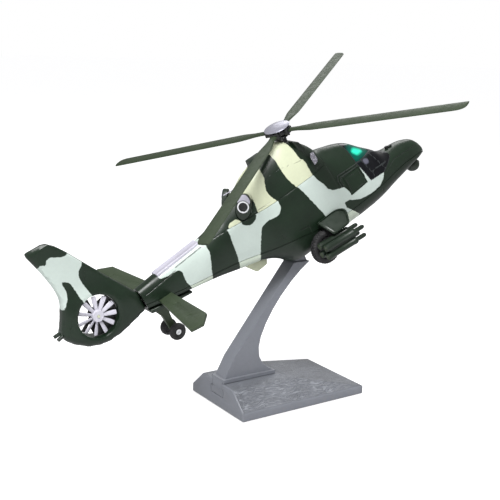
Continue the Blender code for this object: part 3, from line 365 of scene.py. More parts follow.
def moulded(name, colour, roughness=0.45, spread=0.1, grain_mm=0.7, depth=0.04, **sockets):
    """Plain moulded or sprayed plastic with a fine skin."""
    graph = Graph(name, roughness, **sockets)
    graph.colour(tinted(graph, colour, spread))
    graph.rough(graph.vary(3.0, 3.0, roughness - 0.06, roughness + 0.07))
    graph.bump(graph.noise(grain_mm, 3.0), depth, 0.5)
    return graph.material


def rubber(name):
    graph = Graph(name, 0.7)
    dusty = graph.ramp(graph.noise(2.5, 4.0), 0.35, 0.75)
    graph.colour(graph.mix(dusty, (0.010, 0.010, 0.011), (0.026, 0.025, 0.026)))
    graph.bump(graph.noise(0.35, 4.0), 0.05, 0.6)
    return graph.material


def metal(name, colour, roughness=0.3):
    """Turned metal with fine scratches round the surface."""
    graph = Graph(name, roughness, 1.0)
    stretched = graph.node("Mapping", {"Vector": graph.place, "Scale": (1.0, 1.0, 14.0)}).outputs[0]
    graph.colour(tinted(graph, colour, 0.06))
    streaks = graph.noise(2.0, 4.0, vector=stretched)
    graph.rough(graph.ramp(streaks, 0.3, 0.7, roughness - 0.1, roughness + 0.12))
    graph.bump(graph.noise(0.6, 3.0, vector=stretched), 0.02, 0.4)
    return graph.material


def satin_stand(name, combed_slopes):
    """Grey-lavender plastic; the sloped faces of the base carry a fine combed texture."""
    graph = Graph(name, 0.36, Coat_Weight=0.1, Coat_Roughness=0.3)
    colour = tinted(graph, (0.185, 0.195, 0.222), 0.05, 30.0, 2.0)
    graph.rough(graph.vary(8.0, 3.0, 0.3, 0.42))
    if combed_slopes:
        swirl = graph.node("TexNoise", {"Vector": graph.place, "Scale": 55.0, "Detail": 2.0})
        bend = graph.node("VectorMath", {0: swirl.outputs["Color"], 1: (0.006, 0.006, 0.0)},
                          operation="MULTIPLY")
        bent = graph.node("VectorMath", {0: graph.place, 1: bend.outputs[0]}, operation="ADD").outputs[0]
        warp = graph.node("Mapping", {"Vector": bent, "Scale": (0.8, 6.5, 1.0),
                                      "Rotation": (0.0, 0.0, 0.12)}).outputs[0]
        combed = graph.noise(3.4, 3.0, 0.6, vector=warp)
        ridges = graph.math("MULTIPLY", graph.ramp(combed, 0.40, 0.60), graph.attribute("slope"))
        graph.bump(ridges, 0.55, 1.0)
        colour = graph.mix(graph.math("MULTIPLY", ridges, 0.30), colour, (0.46, 0.48, 0.53))
    graph.colour(colour)
    graph.bump(graph.noise(0.5, 3.0), 0.03, 0.5)
    return graph.material


def glazing_material(name):
    """Smoke-tinted panes in thin painted frames; the roof pane shows teal where light comes through it, with
    a painted highlight streak in it and a painted lavender reflection on a lower pane.
    """
    graph = Graph(name, 0.12, IOR=1.3)
    frames = graph.ramp(graph.attribute("groove"), 0.42, 0.58, 1.0, 0.0)
    # painted reflection: a pale lavender patch mixed into the smoke
    painted_reflection = graph.ramp(graph.math("ADD", graph.attribute("painted_reflection"), graph.noise(3.0)), 0.3, 1.5)
    smoke = tinted(graph, (0.0035, 0.0040, 0.0055), 0.3, 5.0)
    pane = graph.mix(graph.math("MULTIPLY", painted_reflection, 0.75), smoke, (0.15, 0.15, 0.20))
    pane = graph.mix(graph.ramp(graph.attribute("teal"), -1.6, 1.6), pane, (0.0, 0.085, 0.060))
    # painted highlight: a bright teal streak on the roof pane
    pane = graph.mix(graph.ramp(graph.attribute("painted_highlight"), -0.9, 0.9), pane, (0.03, 0.80, 0.52))
    graph.colour(graph.mix(frames, pane, (0.030, 0.034, 0.036)))
    graph.rough(graph.ramp(frames, 0.0, 1.0, 0.12, 0.4))
    graph.bump(frames, 0.45, 1.0)
    return graph.material


def grille_material(name):
    """Silver mesh over a dark intake."""
    graph = Graph(name, 0.35, 0.4)
    cells = graph.node("TexVoronoi", {"Vector": graph.place, "Scale": 1000.0 / 1.1},
                       distance="MANHATTAN").outputs["Distance"]
    holes = graph.ramp(cells, 0.36, 0.5)
    graph.colour(graph.mix(holes, (0.74, 0.72, 0.80), (0.35, 0.34, 0.40)))
    graph.bump(holes, 0.25, -0.8)
    return graph.material


MATERIALS = {
    "hull": sprayed_paint("camouflage_pale_green", GREEN, PALE),
    "cowl": sprayed_paint("camouflage_cream", GREEN, CREAM, 0.36, 0.22),
    "belly": sprayed_paint("camouflage_belly", (0.0105, 0.0195, 0.0115), (0.56, 0.63, 0.53)),
    "green": moulded("dark_green_plastic", (0.0095, 0.0190, 0.0105), 0.38),
    "olive": moulded("olive_plastic", (0.030, 0.046, 0.022), 0.46),
    "blade": moulded("rotor_olive", (0.0245, 0.0375, 0.0185), 0.5, 0.12, 1.1, Specular_IOR_Level=0.3),
    "rail": moulded("rail_green", (0.030, 0.038, 0.033), 0.3),
    "fan": moulded("fan_plastic", (0.56, 0.55, 0.62), 0.36, 0.04),
    "cream": moulded("cream_plastic", CREAM, 0.45, 0.05),
    "spine": moulded("lavender_spine", LAVENDER, 0.36, 0.06),
    "black": moulded("black_plastic", (0.010, 0.011, 0.011), 0.4, 0.2),
    "rubber": rubber("tyre_rubber"),
    "white": moulded("white_plastic", (0.80, 0.81, 0.84), 0.32, 0.03),
    "silver": moulded("silver_plastic", (0.34, 0.34, 0.40), 0.34, 0.05, 1.2, 0.03, Metallic=0.55),
    "steel": metal("steel", (0.56, 0.57, 0.60)),
    "stand": satin_stand("stand_plastic", False),
    "base": satin_stand("base_plastic", True),
    "glass": glazing_material("smoke_glazing"),
    "grille": grille_material("intake_mesh"),
    "board": moulded("board_green", (0.015, 0.13, 0.05), 0.4),
    "lamp": moulded("lamp_white", (0.85, 0.9, 0.88), 0.2),
}


# --- mesh helpers; verts are in millimetres ---
def linked(name, data):
    obj = bpy.data.objects.new(name, data)
    bpy.context.scene.collection.objects.link(obj)
    return obj


def at(u, y, w):
    """The helicopter's frame moved to a point of its own, in millimetres."""
    return HELI @ Matrix.Translation(Vector((u, y, w)) * MM)


def new_object(name, verts, faces, placed=HELI):
    mesh = bpy.data.meshes.new(name)
    mesh.from_pydata([tuple(v) for v in np.asarray(verts, float) * MM], [], [tuple(f) for f in faces])
    mesh.validate()
    obj = linked(name, mesh)
    obj.matrix_world = placed
    outward(obj)
    return obj


def outward(obj):
    bm = bmesh.new()
    bm.from_mesh(obj.data)
    bmesh.ops.remove_doubles(bm, verts=bm.verts, dist=0.000002)
    bmesh.ops.recalc_face_normals(bm, faces=bm.faces)
    bm.to_mesh(obj.data)
    bm.free()


def applied(obj):
    """The object with its modifiers turned into plain mesh."""
    bpy.context.view_layer.update()
    mesh = bpy.data.meshes.new_from_object(obj.evaluated_get(bpy.context.evaluated_depsgraph_get()))
    obj.modifiers.clear()
    obj.data = mesh
    return obj


def shaded(obj, angle=SHARP):
    obj.data.shade_smooth()
    obj.data.set_sharp_from_angle(angle=angle)
    return obj


def grid(rows, closed=False):
    """Skin through rows of points; closed joins each row's ends and caps the first and last row."""
    rows = [np.asarray(r, float) for r in rows]
    count = len(rows[0])
    verts = np.concatenate(rows)
    faces = []
    across = count if closed else count - 1
    for i in range(len(rows) - 1):
        for k in range(across):
            a, b = i * count + k, i * count + (k + 1) % count
            faces.append((a, b, b + count, a + count))
    if closed:
        faces.append(tuple(range(count)))
        faces.append(tuple(range((len(rows) - 1) * count, len(rows) * count)))
    return verts, faces


def modifier(obj, kind, **settings):
    made = obj.modifiers.new(kind.title(), kind)
    for key, value in settings.items():
        setattr(made, key, value)
    return made


def bevelled(obj, width, segments=2, angle=30.0):
    modifier(obj, "BEVEL", width=width * MM, segments=segments, limit_method="ANGLE",
             angle_limit=math.radians(angle), harden_normals=False)
    return applied(obj)


def carve(obj, *cutters, operation="DIFFERENCE"):
    """Boolean with each cutter in turn; the cutters are used up."""
    for cutter in cutters:
        modifier(obj, "BOOLEAN", operation=operation, solver="EXACT", object=cutter)
    applied(obj)
    for cutter in cutters:
        bpy.data.objects.remove(cutter, do_unlink=True)
    return obj


def prism(outline, low, high, axis="Y", placed=HELI):
    """A flat outline given a depth across (Y) or up (W)."""
    verts = [(a, d, b) if axis == "Y" else (a, b, d) for d in (low, high) for a, b in outline]
    n = len(outline)
    faces = [tuple(range(n)), tuple(range(n, 2 * n))]
    faces += [(k, (k + 1) % n, n + (k + 1) % n, n + k) for k in range(n)]
    return new_object("prism", verts, faces, placed)


def oval(long, short, steps=48, centre=(0.0, 0.0)):
    return [(centre[0] + long * math.cos(TAU * k / steps), centre[1] + short * math.sin(TAU * k / steps))
            for k in range(steps)]


def circle(radius, steps, centre=(0.0, 0.0)):
    return oval(radius, radius, steps, centre)


def rectangle(u0, v0, u1, v1):
    return [(u0, v0), (u1, v0), (u1, v1), (u0, v1)]


def mirrored(profile):
    """A profile and its own reflection below height zero."""
    return profile + [(r, -h) for r, h in reversed(profile)]


def turned(profile, centre, axis, steps=48, placed=HELI):
    """Spins (radius, height) points about an axis; a profile clear of the axis closes on itself."""
    ring = profile[0][0] > 1e-6
    rows = []
    for k in range(steps):
        c, s = math.cos(TAU * k / steps), math.sin(TAU * k / steps)
        row = []
        for r, h in profile:
            p = {"W": (r * c, r * s, h), "Y": (r * c, h, r * s), "U": (h, r * c, r * s)}[axis]
            row.append(np.add(p, centre))
        rows.append(row)
    n = len(profile)
    verts = np.concatenate([np.array(r) for r in rows])
    faces = []
    for i in range(steps):
        j = (i + 1) % steps
        for k in range(n if ring else n - 1):
            after = (k + 1) % n
            faces.append((i * n + k, i * n + after, j * n + after, j * n + k))
    return new_object("turned", verts, faces, placed)


def box(low, high, bevel=0.0, placed=HELI):
    low, high = np.array(low, float), np.array(high, float)
    middle, half = (low + high) / 2, (high - low) / 2
    verts = []
    for k in range(8):
        verts.append(middle + half * np.array([1 if k & 1 else -1, 1 if k & 2 else -1, 1 if k & 4 else -1]))
    faces = [(0, 1, 3, 2), (4, 6, 7, 5), (0, 4, 5, 1), (2, 3, 7, 6), (0, 2, 6, 4), (1, 5, 7, 3)]
    obj = new_object("box", verts, faces, placed)
    return bevelled(obj, bevel) if bevel else obj


def merged(objs):
    """One object holding the meshes of several that share its frame."""
    first = objs[0]
    bm = bmesh.new()
    for obj in objs:
        part = obj.data.copy()
        part.transform(first.matrix_world.inverted() @ obj.matrix_world)
        bm.from_mesh(part)
        bpy.data.meshes.remove(part)
    mesh = bpy.data.meshes.new("merged")
    bm.to_mesh(mesh)
    bm.free()
    result = linked("merged", mesh)
    result.matrix_world = first.matrix_world.copy()
    for obj in objs:
        bpy.data.objects.remove(obj, do_unlink=True)
    return result


def rod(points, radius, steps=10):
    """A round bar through the points."""
    points = [np.array(p, float) for p in points]
    rows = []
    for k, here in enumerate(points):
        way = points[min(k + 1, len(points) - 1)] - points[max(k - 1, 0)]
        way /= np.linalg.norm(way)
        side = np.cross(way, (0.0, 0.3, 1.0))
        side /= np.linalg.norm(side)
        other = np.cross(way, side)
        rows.append([here + radius * (math.cos(TAU * a / steps) * side + math.sin(TAU * a / steps) * other)
                     for a in range(steps)])
    return new_object("rod", *grid(rows, closed=True))


def stored(obj, name, values):
    attribute = obj.data.attributes.new(name, "FLOAT", "POINT")
    attribute.data.foreach_set("value", np.asarray(values, np.float32))


def side_points(obj):
    """Each vertex's place in the side view, in millimetres."""
    co = np.zeros(len(obj.data.vertices) * 3, np.float32)
    obj.data.vertices.foreach_get("co", co)
    return co.reshape(-1, 3)[:, [0, 2]].astype(float) / MM


def camouflage(obj, areas, grooves):
    """Store how far each vertex is from the pale areas and from the panel lines."""
    points = side_points(obj)
    stored(obj, "paint", area_distance(points, areas))
    stored(obj, "groove", line_distance(points, grooves))


def piece(obj, name, nodes, material, body="helicopter", angle=SHARP):
    """Finish an object as a visible piece that stands for CAD nodes."""
    obj.name = name
    obj.data.name = name
    obj.data.materials.clear()
    obj.data.materials.append(MATERIALS[material])
    shaded(obj, angle)
    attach(obj, body)
    if nodes:
        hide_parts(*nodes)


# --- stand ---
def stand():
    """The CAD's own base and arm, with their edges eased and the combed faces marked."""
    for node, body, material in (("stand_base", "stand", "base"), ("stand_arm", "arm", "stand")):
        obj = linked(node + "_shown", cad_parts[node].data.copy())
        outward(obj)
        bm = bmesh.new()
        bm.from_mesh(obj.data)
        bmesh.ops.dissolve_limit(bm, angle_limit=math.radians(1.0), verts=bm.verts, edges=bm.edges)
        bm.to_mesh(obj.data)
        bm.free()
        bevelled(obj, 0.35, 2, 24.0)
        if node == "stand_base":
            slope = np.zeros(len(obj.data.vertices))
            for polygon in obj.data.polygons:
                if 0.5 < polygon.normal.z < 0.995 and polygon.area > 2e-5:
                    slope[list(polygon.vertices)] = 1.0
            stored(obj, "slope", slope)
        piece(obj, node + "_shown", [node], material, body, math.radians(22))


# --- body ---
SKIN_STEP = 1.3
SIDE_STEPS = 34


def half_ring(u, start, power, low, high, clip=None):
    """Starboard half of a section, from a start angle up to the middle line."""
    angles = start + (math.pi / 2 - start) * np.linspace(0, 1, SIDE_STEPS) ** 0.9
    y = float(half_width_at(u)) * np.abs(np.cos(angles)) ** (2 / power)
    w = low + (high - low) * np.sin(angles) ** (2 / power)
    y[-1] = 0.0
    if clip is not None:
        w = np.minimum(w, clip)
    return np.stack([np.full(SIDE_STEPS, u), -y, w], 1)


def both_sides(half):
    other = half[:-1][::-1] * np.array([1, -1, 1])
    return np.concatenate([half, other])


def start_angle(w, low, high, power):
    share = min(max((w - low) / (high - low), 0.0), 1.0)
    return math.asin(share ** (power / 2))


def upper_section(u):
    low, high, power = float(seam_at(u)), float(top_at(u)), crown_power(u)
    start = start_angle(low + SEAM_GAP, low, high, power)
    under = COWL_REAR - 0.5 < u < COWL_FRONT + 0.5
    return both_sides(half_ring(u, start, power, low, high, DECK_W if under else None))


def lower_section(u):
    low, high, power = float(bottom_at(u)), float(seam_at(u)) - SEAM_GAP, 2.8
    half = half_ring(u, 0.0, power, 0.0, 1.0)
    half[:, 2] = high - (high - low) * half[:, 2]
    return both_sides(half)


def cowl_section(u):
    low, high, power = float(seam_at(u)), float(top_at(u)), crown_power(u)
    return both_sides(half_ring(u, start_angle(COWL_BASE, low, high, power), power, low, high))


def stations(start, end, extra=()):
    count = max(2, int(round((end - start) / SKIN_STEP)) + 1)
    return sorted(set(np.round(np.linspace(start, end, count), 4)) | set(extra))


def shell(section, us, close_rear=False, close_front=False):
    """A skin of even thickness through the sections at the given stations."""
    verts, faces = grid([section(u) for u in us])
    count = len(verts) // len(us)
    if close_rear:
        faces.append(tuple(range(count)))
    if close_front:
        faces.append(tuple(range(len(verts) - count, len(verts))))
    obj = new_object("shell", verts, faces)
    modifier(obj, "SOLIDIFY", thickness=WALL * MM, offset=-1.0, use_even_offset=False)
    return applied(obj)


def shrunk(outline, amount):
    """The outline moved inwards by an even amount."""
    loop = np.array(outline, float)
    area = np.sum(loop[:, 0] * np.roll(loop[:, 1], -1) - np.roll(loop[:, 0], -1) * loop[:, 1])
    result = []
    for k, here in enumerate(loop):
        one = here - loop[k - 1]
        two = loop[(k + 1) % len(loop)] - here
        one, two = one / np.hypot(*one), two / np.hypot(*two)
        n1 = np.array([-one[1], one[0]]) * np.sign(area)
        n2 = np.array([-two[1], two[0]]) * np.sign(area)
        bisector = (n1 + n2) / np.hypot(*(n1 + n2))
        result.append(here + bisector * amount / max(0.3, bisector @ n1))
    return result


def door_cutter(side, outline):
    return prism(outline, *sorted((side * 9.5, side * 21.5)))


def hull():
    ends = (-122.0, 103.5)
    upper = shell(upper_section, stations(*ends, (-67.6, -67.2, 20.6, 20.9)), close_front=True)
    carve(upper, prism(WINDSCREEN, -30, 30), prism(circle(MAST_HOLE, 32, HUB[:2]), -40, -30, "W"),
          *[door_cutter(side, DOOR) for side, _ in SIDES])
    camouflage(upper, PALE_AREAS, HULL_GROOVES)
    piece(upper, "hull_upper_skin", ["upper_hull"], "hull", angle=SKIN_SHARP)
    lower = shell(lower_section, stations(*ends), close_front=True)
    carve(
        lower,
        prism(rectangle(-21.9, -4.3, -13.3, 4.3), -90, -75, "W"),
        prism(circle(1.35, 24, (WHEEL[0], WHEEL[2])), -30, 30),
        prism(rectangle(28.0, -8.0, 50.0, 8.0), -90, -78, "W"),
        *[prism(circle(2.0, 24, (u, 0.0)), float(bottom_at(u)) - 3, float(bottom_at(u)) + 1.4, "W")
          for u in (84.0, -52.0, -98.0)],
    )
    camouflage(lower, PALE_AREAS, HULL_GROOVES)
    piece(lower, "hull_lower_skin", ["lower_hull"], "belly", angle=SKIN_SHARP)


def exhaust_matrix(side):
    """Where an exhaust sits: long way, across, and out of the cowling."""
    outward_way = Vector((-0.62, side * 0.72, 0.30)).normalized()
    long_way = Vector((0.55, 0.0, 0.83))
    long_way = (long_way - outward_way * long_way.dot(outward_way)).normalized()
    across = long_way.cross(outward_way)
    turn = Matrix((long_way, -across, outward_way)).transposed().to_4x4()
    u, y, w = EXHAUST_CENTRE
    return at(u, side * y, w) @ turn


def cowling():
    cowl = shell(cowl_section, stations(COWL_REAR, COWL_FRONT), True, True)
    gap = 0.3
    cutters = [
        box((-80, -30, -50), (40, 30, COWL_BASE)),
        prism(circle(MAST_HOLE, 32, HUB[:2]), -30, 5, "W"),
        prism(rectangle(BUTTON_LOW[0] - gap, BUTTON_LOW[1] - gap, BUTTON_HIGH[0] + gap, BUTTON_HIGH[1] + gap),
              -24, 5, "W"),
    ]
    hole = oval(EXHAUST_LONG + gap, EXHAUST_SHORT + gap)
    cutters += [prism(hole, -4.5, 4.5, "W", exhaust_matrix(side)) for side, _ in SIDES]
    carve(cowl, *cutters)
    camouflage(cowl, CREAM_AREAS, COWL_GROOVES)
    piece(cowl, "engine_cowling_skin", ["engine_cowling"], "cowl", angle=SKIN_SHARP)


def glazing():
    obj = shell(upper_section, stations(40.0, 76.0))
    carve(obj, prism(shrunk(WINDSCREEN, 0.1), -30, 30), operation="INTERSECT")
    points = side_points(obj)
    stored(obj, "groove", line_distance(points, CANOPY_FRAMES))
    # teal light, painted highlight and painted reflection areas on the panes
    for name, area in (("teal", TEAL_AREA), ("painted_highlight", PAINTED_HIGHLIGHT_AREA), ("painted_reflection", PAINTED_REFLECTION_AREA)):
        stored(obj, name, area_distance(points, (area,)))
    piece(obj, "windscreen_panes", ["canopy_glazing"], "glass", angle=SKIN_SHARP)


def doors():
    """Dark panels with a pressed line inside their edge; no pale area reaches them."""
    corners = ((29.2, -51.0), (40.8, -51.2), (42.8, -60.8), (29.4, -60.8))
    for side, name in SIDES:
        obj = shell(upper_section, stations(24.0, 48.0))
        carve(obj, door_cutter(side, shrunk(DOOR, 0.3)), operation="INTERSECT")
        camouflage(obj, (), list(zip(corners, corners[1:] + corners[:1])))
        node = f"door_{name}"
        piece(obj, node + "_panel", [node], "hull", node, SKIN_SHARP)


def exhausts():
    """A dark oval with a pale crescent rim above and a rounded outlet ringed in white."""
    angles = [math.radians(-62 + 124 * k / 20) for k in range(21)]
    crescent = [(7.6 * math.cos(a), 4.5 * math.sin(a)) for a in angles]
    crescent += [(0.4 + 3.6 * math.cos(a), 3.9 * math.sin(a)) for a in reversed(angles)]
    for side, name in SIDES:
        placed = exhaust_matrix(side)
        plate = prism(oval(EXHAUST_LONG, EXHAUST_SHORT), -1.7, 1.7, "W", placed)
        carve(plate, prism(oval(2.95, 2.85, 36), -0.2, 3.0, "W", placed))
        bevelled(plate, 0.5, 3, 40)
        piece(plate, f"exhaust_{name}_plate", [f"exhaust_{name}"], "green")
        ring = turned([(2.8, -0.1), (3.5, -0.1), (3.62, 0.25), (3.45, 0.55), (2.9, 0.55), (2.75, 0.25)],
                      (0, 0, 1.55), "W", 40, placed)
        piece(ring, f"exhaust_{name}_ring", [], "white")
        cup = turned([(0.0, -0.1), (2.8, -0.1), (2.8, 0.5), (2.2, 0.3), (0.0, 0.2)],
                     (0, 0, 0.2), "W", 32, placed)
        piece(cup, f"exhaust_{name}_mouth", [], "black")
        lip = prism(crescent, 1.5, 2.0, "W", placed)
        bevelled(lip, 0.18, 2, 40)
        piece(lip, f"exhaust_{name}_crescent", [], "spine")


# --- fittings on the body ---
def wing(side, name):
    """A short wing that leaves the hull nearly level and curls down to its tip, with a soft edge."""
    loop = rounded([(-5.2, 0.6), (-5.0, 6.0), (-3.8, 13.2), (-2.6, 14.4), (9.4, 14.4), (10.8, 13.4),
                    (12.9, 10.4), (15.2, 6.6), (15.4, 3.6), (12.6, 0.8), (9.0, 0.0), (-3.4, 0.0)])
    centre = loop.mean(axis=0)
    first, last, reach = math.radians(8), math.radians(50), 14.4
    curl = (last - first) / reach
    crown = (0.0, 0.35, 0.72, 0.93, 1.0)
    rows = []
    for lift in crown + tuple(-share for share in reversed(crown)):
        shrink = 1 - 0.16 * (1 - math.sqrt(max(0.0, 1 - lift**2)))
        ring = []
        for u, s in centre + (loop - centre) * shrink:
            lean = first + curl * s
            out = (math.sin(lean) - math.sin(first)) / curl
            down = (math.cos(first) - math.cos(lean)) / curl
            rise = lift * np.array([0.0, side * math.sin(lean), math.cos(lean)])
            ring.append(np.multiply(WING_ROOT, (1, side, 1)) + np.array([u, side * out, -down]) + rise)
        rows.append(ring)
    obj = new_object("wing", *grid(rows[::-1], closed=True))
    piece(obj, f"stub_wing_{name}_skin", [f"stub_wing_{name}"], "green")


def rack(side, name):
    """Four tubes round a cruciform rail; their rear ends are closed by pale discs."""
    u, y, w = RACK_CENTRE
    placed = at(u, side * y, w) @ Matrix.Rotation(RACK_PITCH, 4, "Y")
    parts = [box((-14.0, -0.8, -3.4), (8.0, 0.8, 3.4), 0.2, placed),
             box((-13.0, -3.4, -0.8), (7.0, 3.4, 0.8), 0.2, placed)]
    tube = [(0.0, -15.9), (2.0, -15.9), (2.3, -15.5), (2.3, -12.0), (2.15, -11.7), (2.15, 5.4), (2.3, 5.7),
            (2.3, 7.4), (2.1, 7.9), (1.4, 8.1), (1.4, 14.2), (1.2, 15.2), (0.7, 15.8), (0.0, 16.0)]
    disc = [(0.0, -16.3), (1.2, -16.25), (1.75, -16.0), (1.8, -15.7), (0.0, -15.6)]
    seats = [(0, column * 3.1, row * 2.9) for row in (-1, 1) for column in (-1, 1)]
    parts += [turned(tube, seat, "U", 28, placed) for seat in seats]
    discs = [turned(disc, seat, "U", 24, placed) for seat in seats]
    node = f"missile_rack_{name}"
    piece(merged(parts), node + "_tubes", [node], "green")
    piece(merged(discs), node + "_ends", [], "olive")


def intake(side, name):
    """A diamond mesh on the cowling's flank."""
    diamond = ((-0.1, 3.6), (2.0, 3.2), (1.5, -1.8), (0.2, -3.4), (-2.4, -4.0), (-1.8, 1.5))
    turn = Matrix.Rotation(math.radians(-side * 62), 4, "X")
    placed = at(13.9, side * 13.6, -26.0) @ turn
    grille = prism([(u, -side * w) for u, w in diamond], -0.4, 0.45, "W", placed)
    bevelled(grille, 0.15, 2, 40)
    piece(grille, f"intake_mesh_{name}", [f"intake_grille_{name}"], "grille")


def small_fittings():
    """The button's cap, the ball under the chin with its lens, and the blade under the belly."""
    button = "sound_button"
    piece(box(BUTTON_LOW, BUTTON_HIGH, 0.9), button + "_cap", [button], "green", button)
    turret = (94.6, 0, float(bottom_at(94.6)) - 2.6)
    ball = turned([(0.0, 2.0), (3.2, 2.0), (3.9, 1.6), (4.6, 0.6), (4.9, -0.6), (4.85, -1.6), (4.4, -3.0),
                   (3.5, -4.2), (2.2, -4.95), (0.0, -5.2)], turret, "W", 40)
    lens = turned([(0.0, 0.0), (1.5, 0.0), (1.5, 5.2), (1.2, 5.6), (0.0, 5.4)],
                  (*turret[:2], turret[2] - 1.6), "U", 28)
    piece(merged([ball, lens]), "chin_turret_ball", ["chin_turret"], "green")
    pod = prism([(-55.0, -64.6), (-48.4, -73.6), (-40.0, -73.2), (-38.6, -69.6), (-46.0, -66.2)], -3.5, 3.5)
    bevelled(pod, 0.9, 3, 30)
    piece(pod, "belly_antenna_blade", ["belly_antenna"], "cream")


# --- tail ---
def fin_half(u, w):
    """Half thickness of the tail in its side view: thin above, thick round the fan, soft at the rim."""
    point = np.array([[u, w]])
    rim = float(area_distance(point, (FIN_OUTLINE,), False)[0])
    thin_full, thick_full = 1.9, 5.6
    thick = 1.0 / (1.0 + math.exp((w + 20.0 + 0.34 * (u + 150.0)) / 3.4))
    full = thin_full + (thick_full - thin_full) * thick
    edge = min(max(rim / (1.2 + 3.2 * thick), 0.0), 1.0)
    return full * (0.34 + 0.66 * math.sqrt(max(0.0, 1 - (1 - edge) ** 2)))


def fins():
    """Both halves of the fin, each domed from the middle plane out to its own thickness."""
    loop = rounded(FIN_OUTLINE)
    step, flat = 1.15, 0.15
    inner = np.array([(u, w) for u in np.arange(-174, -121, step) for w in np.arange(-57, 21, step)])
    fan_edge = FAN_RADIUS + 0.02 - np.hypot(inner[:, 0] - FAN_U, inner[:, 1] - FAN_W)
    inner = inner[(area_distance(inner, (loop,), False) > 0.55) & (fan_edge < -0.5)]
    opening = circle(FAN_RADIUS + 0.15, 96, (FAN_U, FAN_W))
    n, m = len(loop), len(opening)
    edges = [(k, (k + 1) % n) for k in range(n)] + [(n + k, n + (k + 1) % m) for k in range(m)]
    points = [Vector(p) for p in (*loop, *opening, *inner)]
    made, _, faces, *_ = delaunay_2d_cdt(points, edges, [], 1, 1e-4)
    made = np.array([tuple(v) for v in made])
    centres = [made[list(f)].mean(axis=0) for f in faces]
    faces = [f for f, c in zip(faces, centres) if math.hypot(c[0] - FAN_U, c[1] - FAN_W) > FAN_RADIUS]
    count = len(made)
    border = dict.fromkeys((f[k], f[(k + 1) % len(f)]) for f in faces for k in range(len(f)))
    skin = [tuple(f) for f in faces] + [tuple(count + i for i in reversed(f)) for f in faces]
    skin += [(b, a, a + count, b + count) for a, b in border if (b, a) not in border]
    grooves = [((-123.6, -35.0), (-123.6, -50.0)), ((-141.0, -4.0), (-146.2, -12.6)),
               ((-140.2, -5.2), (-125.6, -30.6)), ((-164.0, -27.0), (-170.4, -35.0))]
    for side, name in SIDES:
        near, far = [], []
        for u, w in made:
            hole = math.hypot(u - FAN_U, w - FAN_W) - FAN_RADIUS
            out = fin_half(u, w) * (1 - 0.16 * max(0.0, 1 - hole / 1.3) ** 2)
            near.append((u, side * flat, w))
            far.append((u, side * (flat + out), w))
        obj = new_object("fin", near + far, skin)
        camouflage(obj, PALE_AREAS, grooves)
        piece(obj, f"tail_fin_{name}_skin", [f"tail_fin_{name}"], "hull",
              angle=math.radians(40))


def fan():
    """Twisted blades round a hub with a domed cap, and a dark plate behind part of the opening that paints
    the shade inside the duct.
    """
    centre = np.array([FAN_U, FAN_Y, FAN_W])
    parts = [turned([(0.9, 1.7), (2.4, 1.7), (3.3, 1.2), (3.5, 0.4), (3.5, -1.2), (3.2, -1.7), (0.9, -1.7)],
                    centre, "Y", 40)]
    stations_out = ((3.0, 0.95, 30), (5.0, 1.15, 26), (7.5, 1.3, 22), (10.0, 1.4, 20), (11.5, 1.3, 20))
    for k in range(FAN_BLADES):
        angle = TAU * (k + 0.25) / FAN_BLADES
        out = np.array([math.cos(angle), 0, math.sin(angle)])
        along = np.array([-math.sin(angle), 0, math.cos(angle)])
        rows = []
        for r, half, twist in stations_out:
            c, s = math.cos(math.radians(twist)), math.sin(math.radians(twist))
            rows.append([centre + r * out + (across * c - thick * s) * along + (0, across * s + thick * c, 0)
                         for across, thick in oval(half, 0.32, 10)])
        parts.append(new_object("fan_blade", *grid(rows, closed=True)))
    piece(merged(parts), "tail_fan_rotor", ["tail_fan"], "fan", "tail_fan")
    # painted shade: a black plate behind the fan stands in for the shade inside the duct; the offset cut
    # leaves a crescent of the opening clear
    plate = prism(circle(FAN_RADIUS - 0.1, 72, (FAN_U, FAN_W)), -0.9, -0.5)
    carve(plate, prism(circle(14.0, 72, (FAN_U + 7.5, FAN_W - 7.0)), -3, 3), operation="INTERSECT")
    piece(plate, "fan_painted_shade_plate", [], "black")


# --- rotor ---
def smooth_step(t):
    t = min(max(t, 0.0), 1.0)
    return t * t * (3 - 2 * t)


def blade(name, azimuth, droop, feather):
    """A slim blade: a bolted root, a taper out to full chord, a flat-bottomed section and a cropped tip."""
    root_half, full_half, tip = 2.3, 4.3, 6.0
    rows = []
    radii = [9.0, 11.0, 13.0, 15.5, 18.5, 22.0, 26.0, 30.0, *np.linspace(34, 117, 34),
             120.5, 122.6, 123.8, 124.6, ROTOR_RADIUS]
    for r in radii:
        grow = smooth_step((r - 13.0) / 15.0)
        half = root_half + (full_half - root_half) * grow
        thick = 0.95 - 0.4 * grow
        t = max(0.0, r - ROTOR_RADIUS + tip) / tip
        crop = 1 - math.sqrt(max(0.0, 1 - t * t))
        half *= 1 - 0.42 * crop
        ring = []
        for a in range(20):
            c, s = math.cos(TAU * a / 20), math.sin(TAU * a / 20)
            lift = thick * s * (1.0 if s > 0 else 0.62) * (1 + 0.35 * c * grow)
            ring.append((r, half * c + 1.5 * crop, lift))
        rows.append(ring)
    verts, faces = grid(rows, closed=True)
    turn = Matrix.Rotation(azimuth, 3, "Z") @ Matrix.Rotation(droop, 3, "Y")
    turn = turn @ Matrix.Rotation(feather, 3, "X")
    obj = new_object("blade", verts @ np.array(turn).T + HUB, faces)
    piece(obj, name + "_skin", [name], "blade", "rotor", math.radians(50))


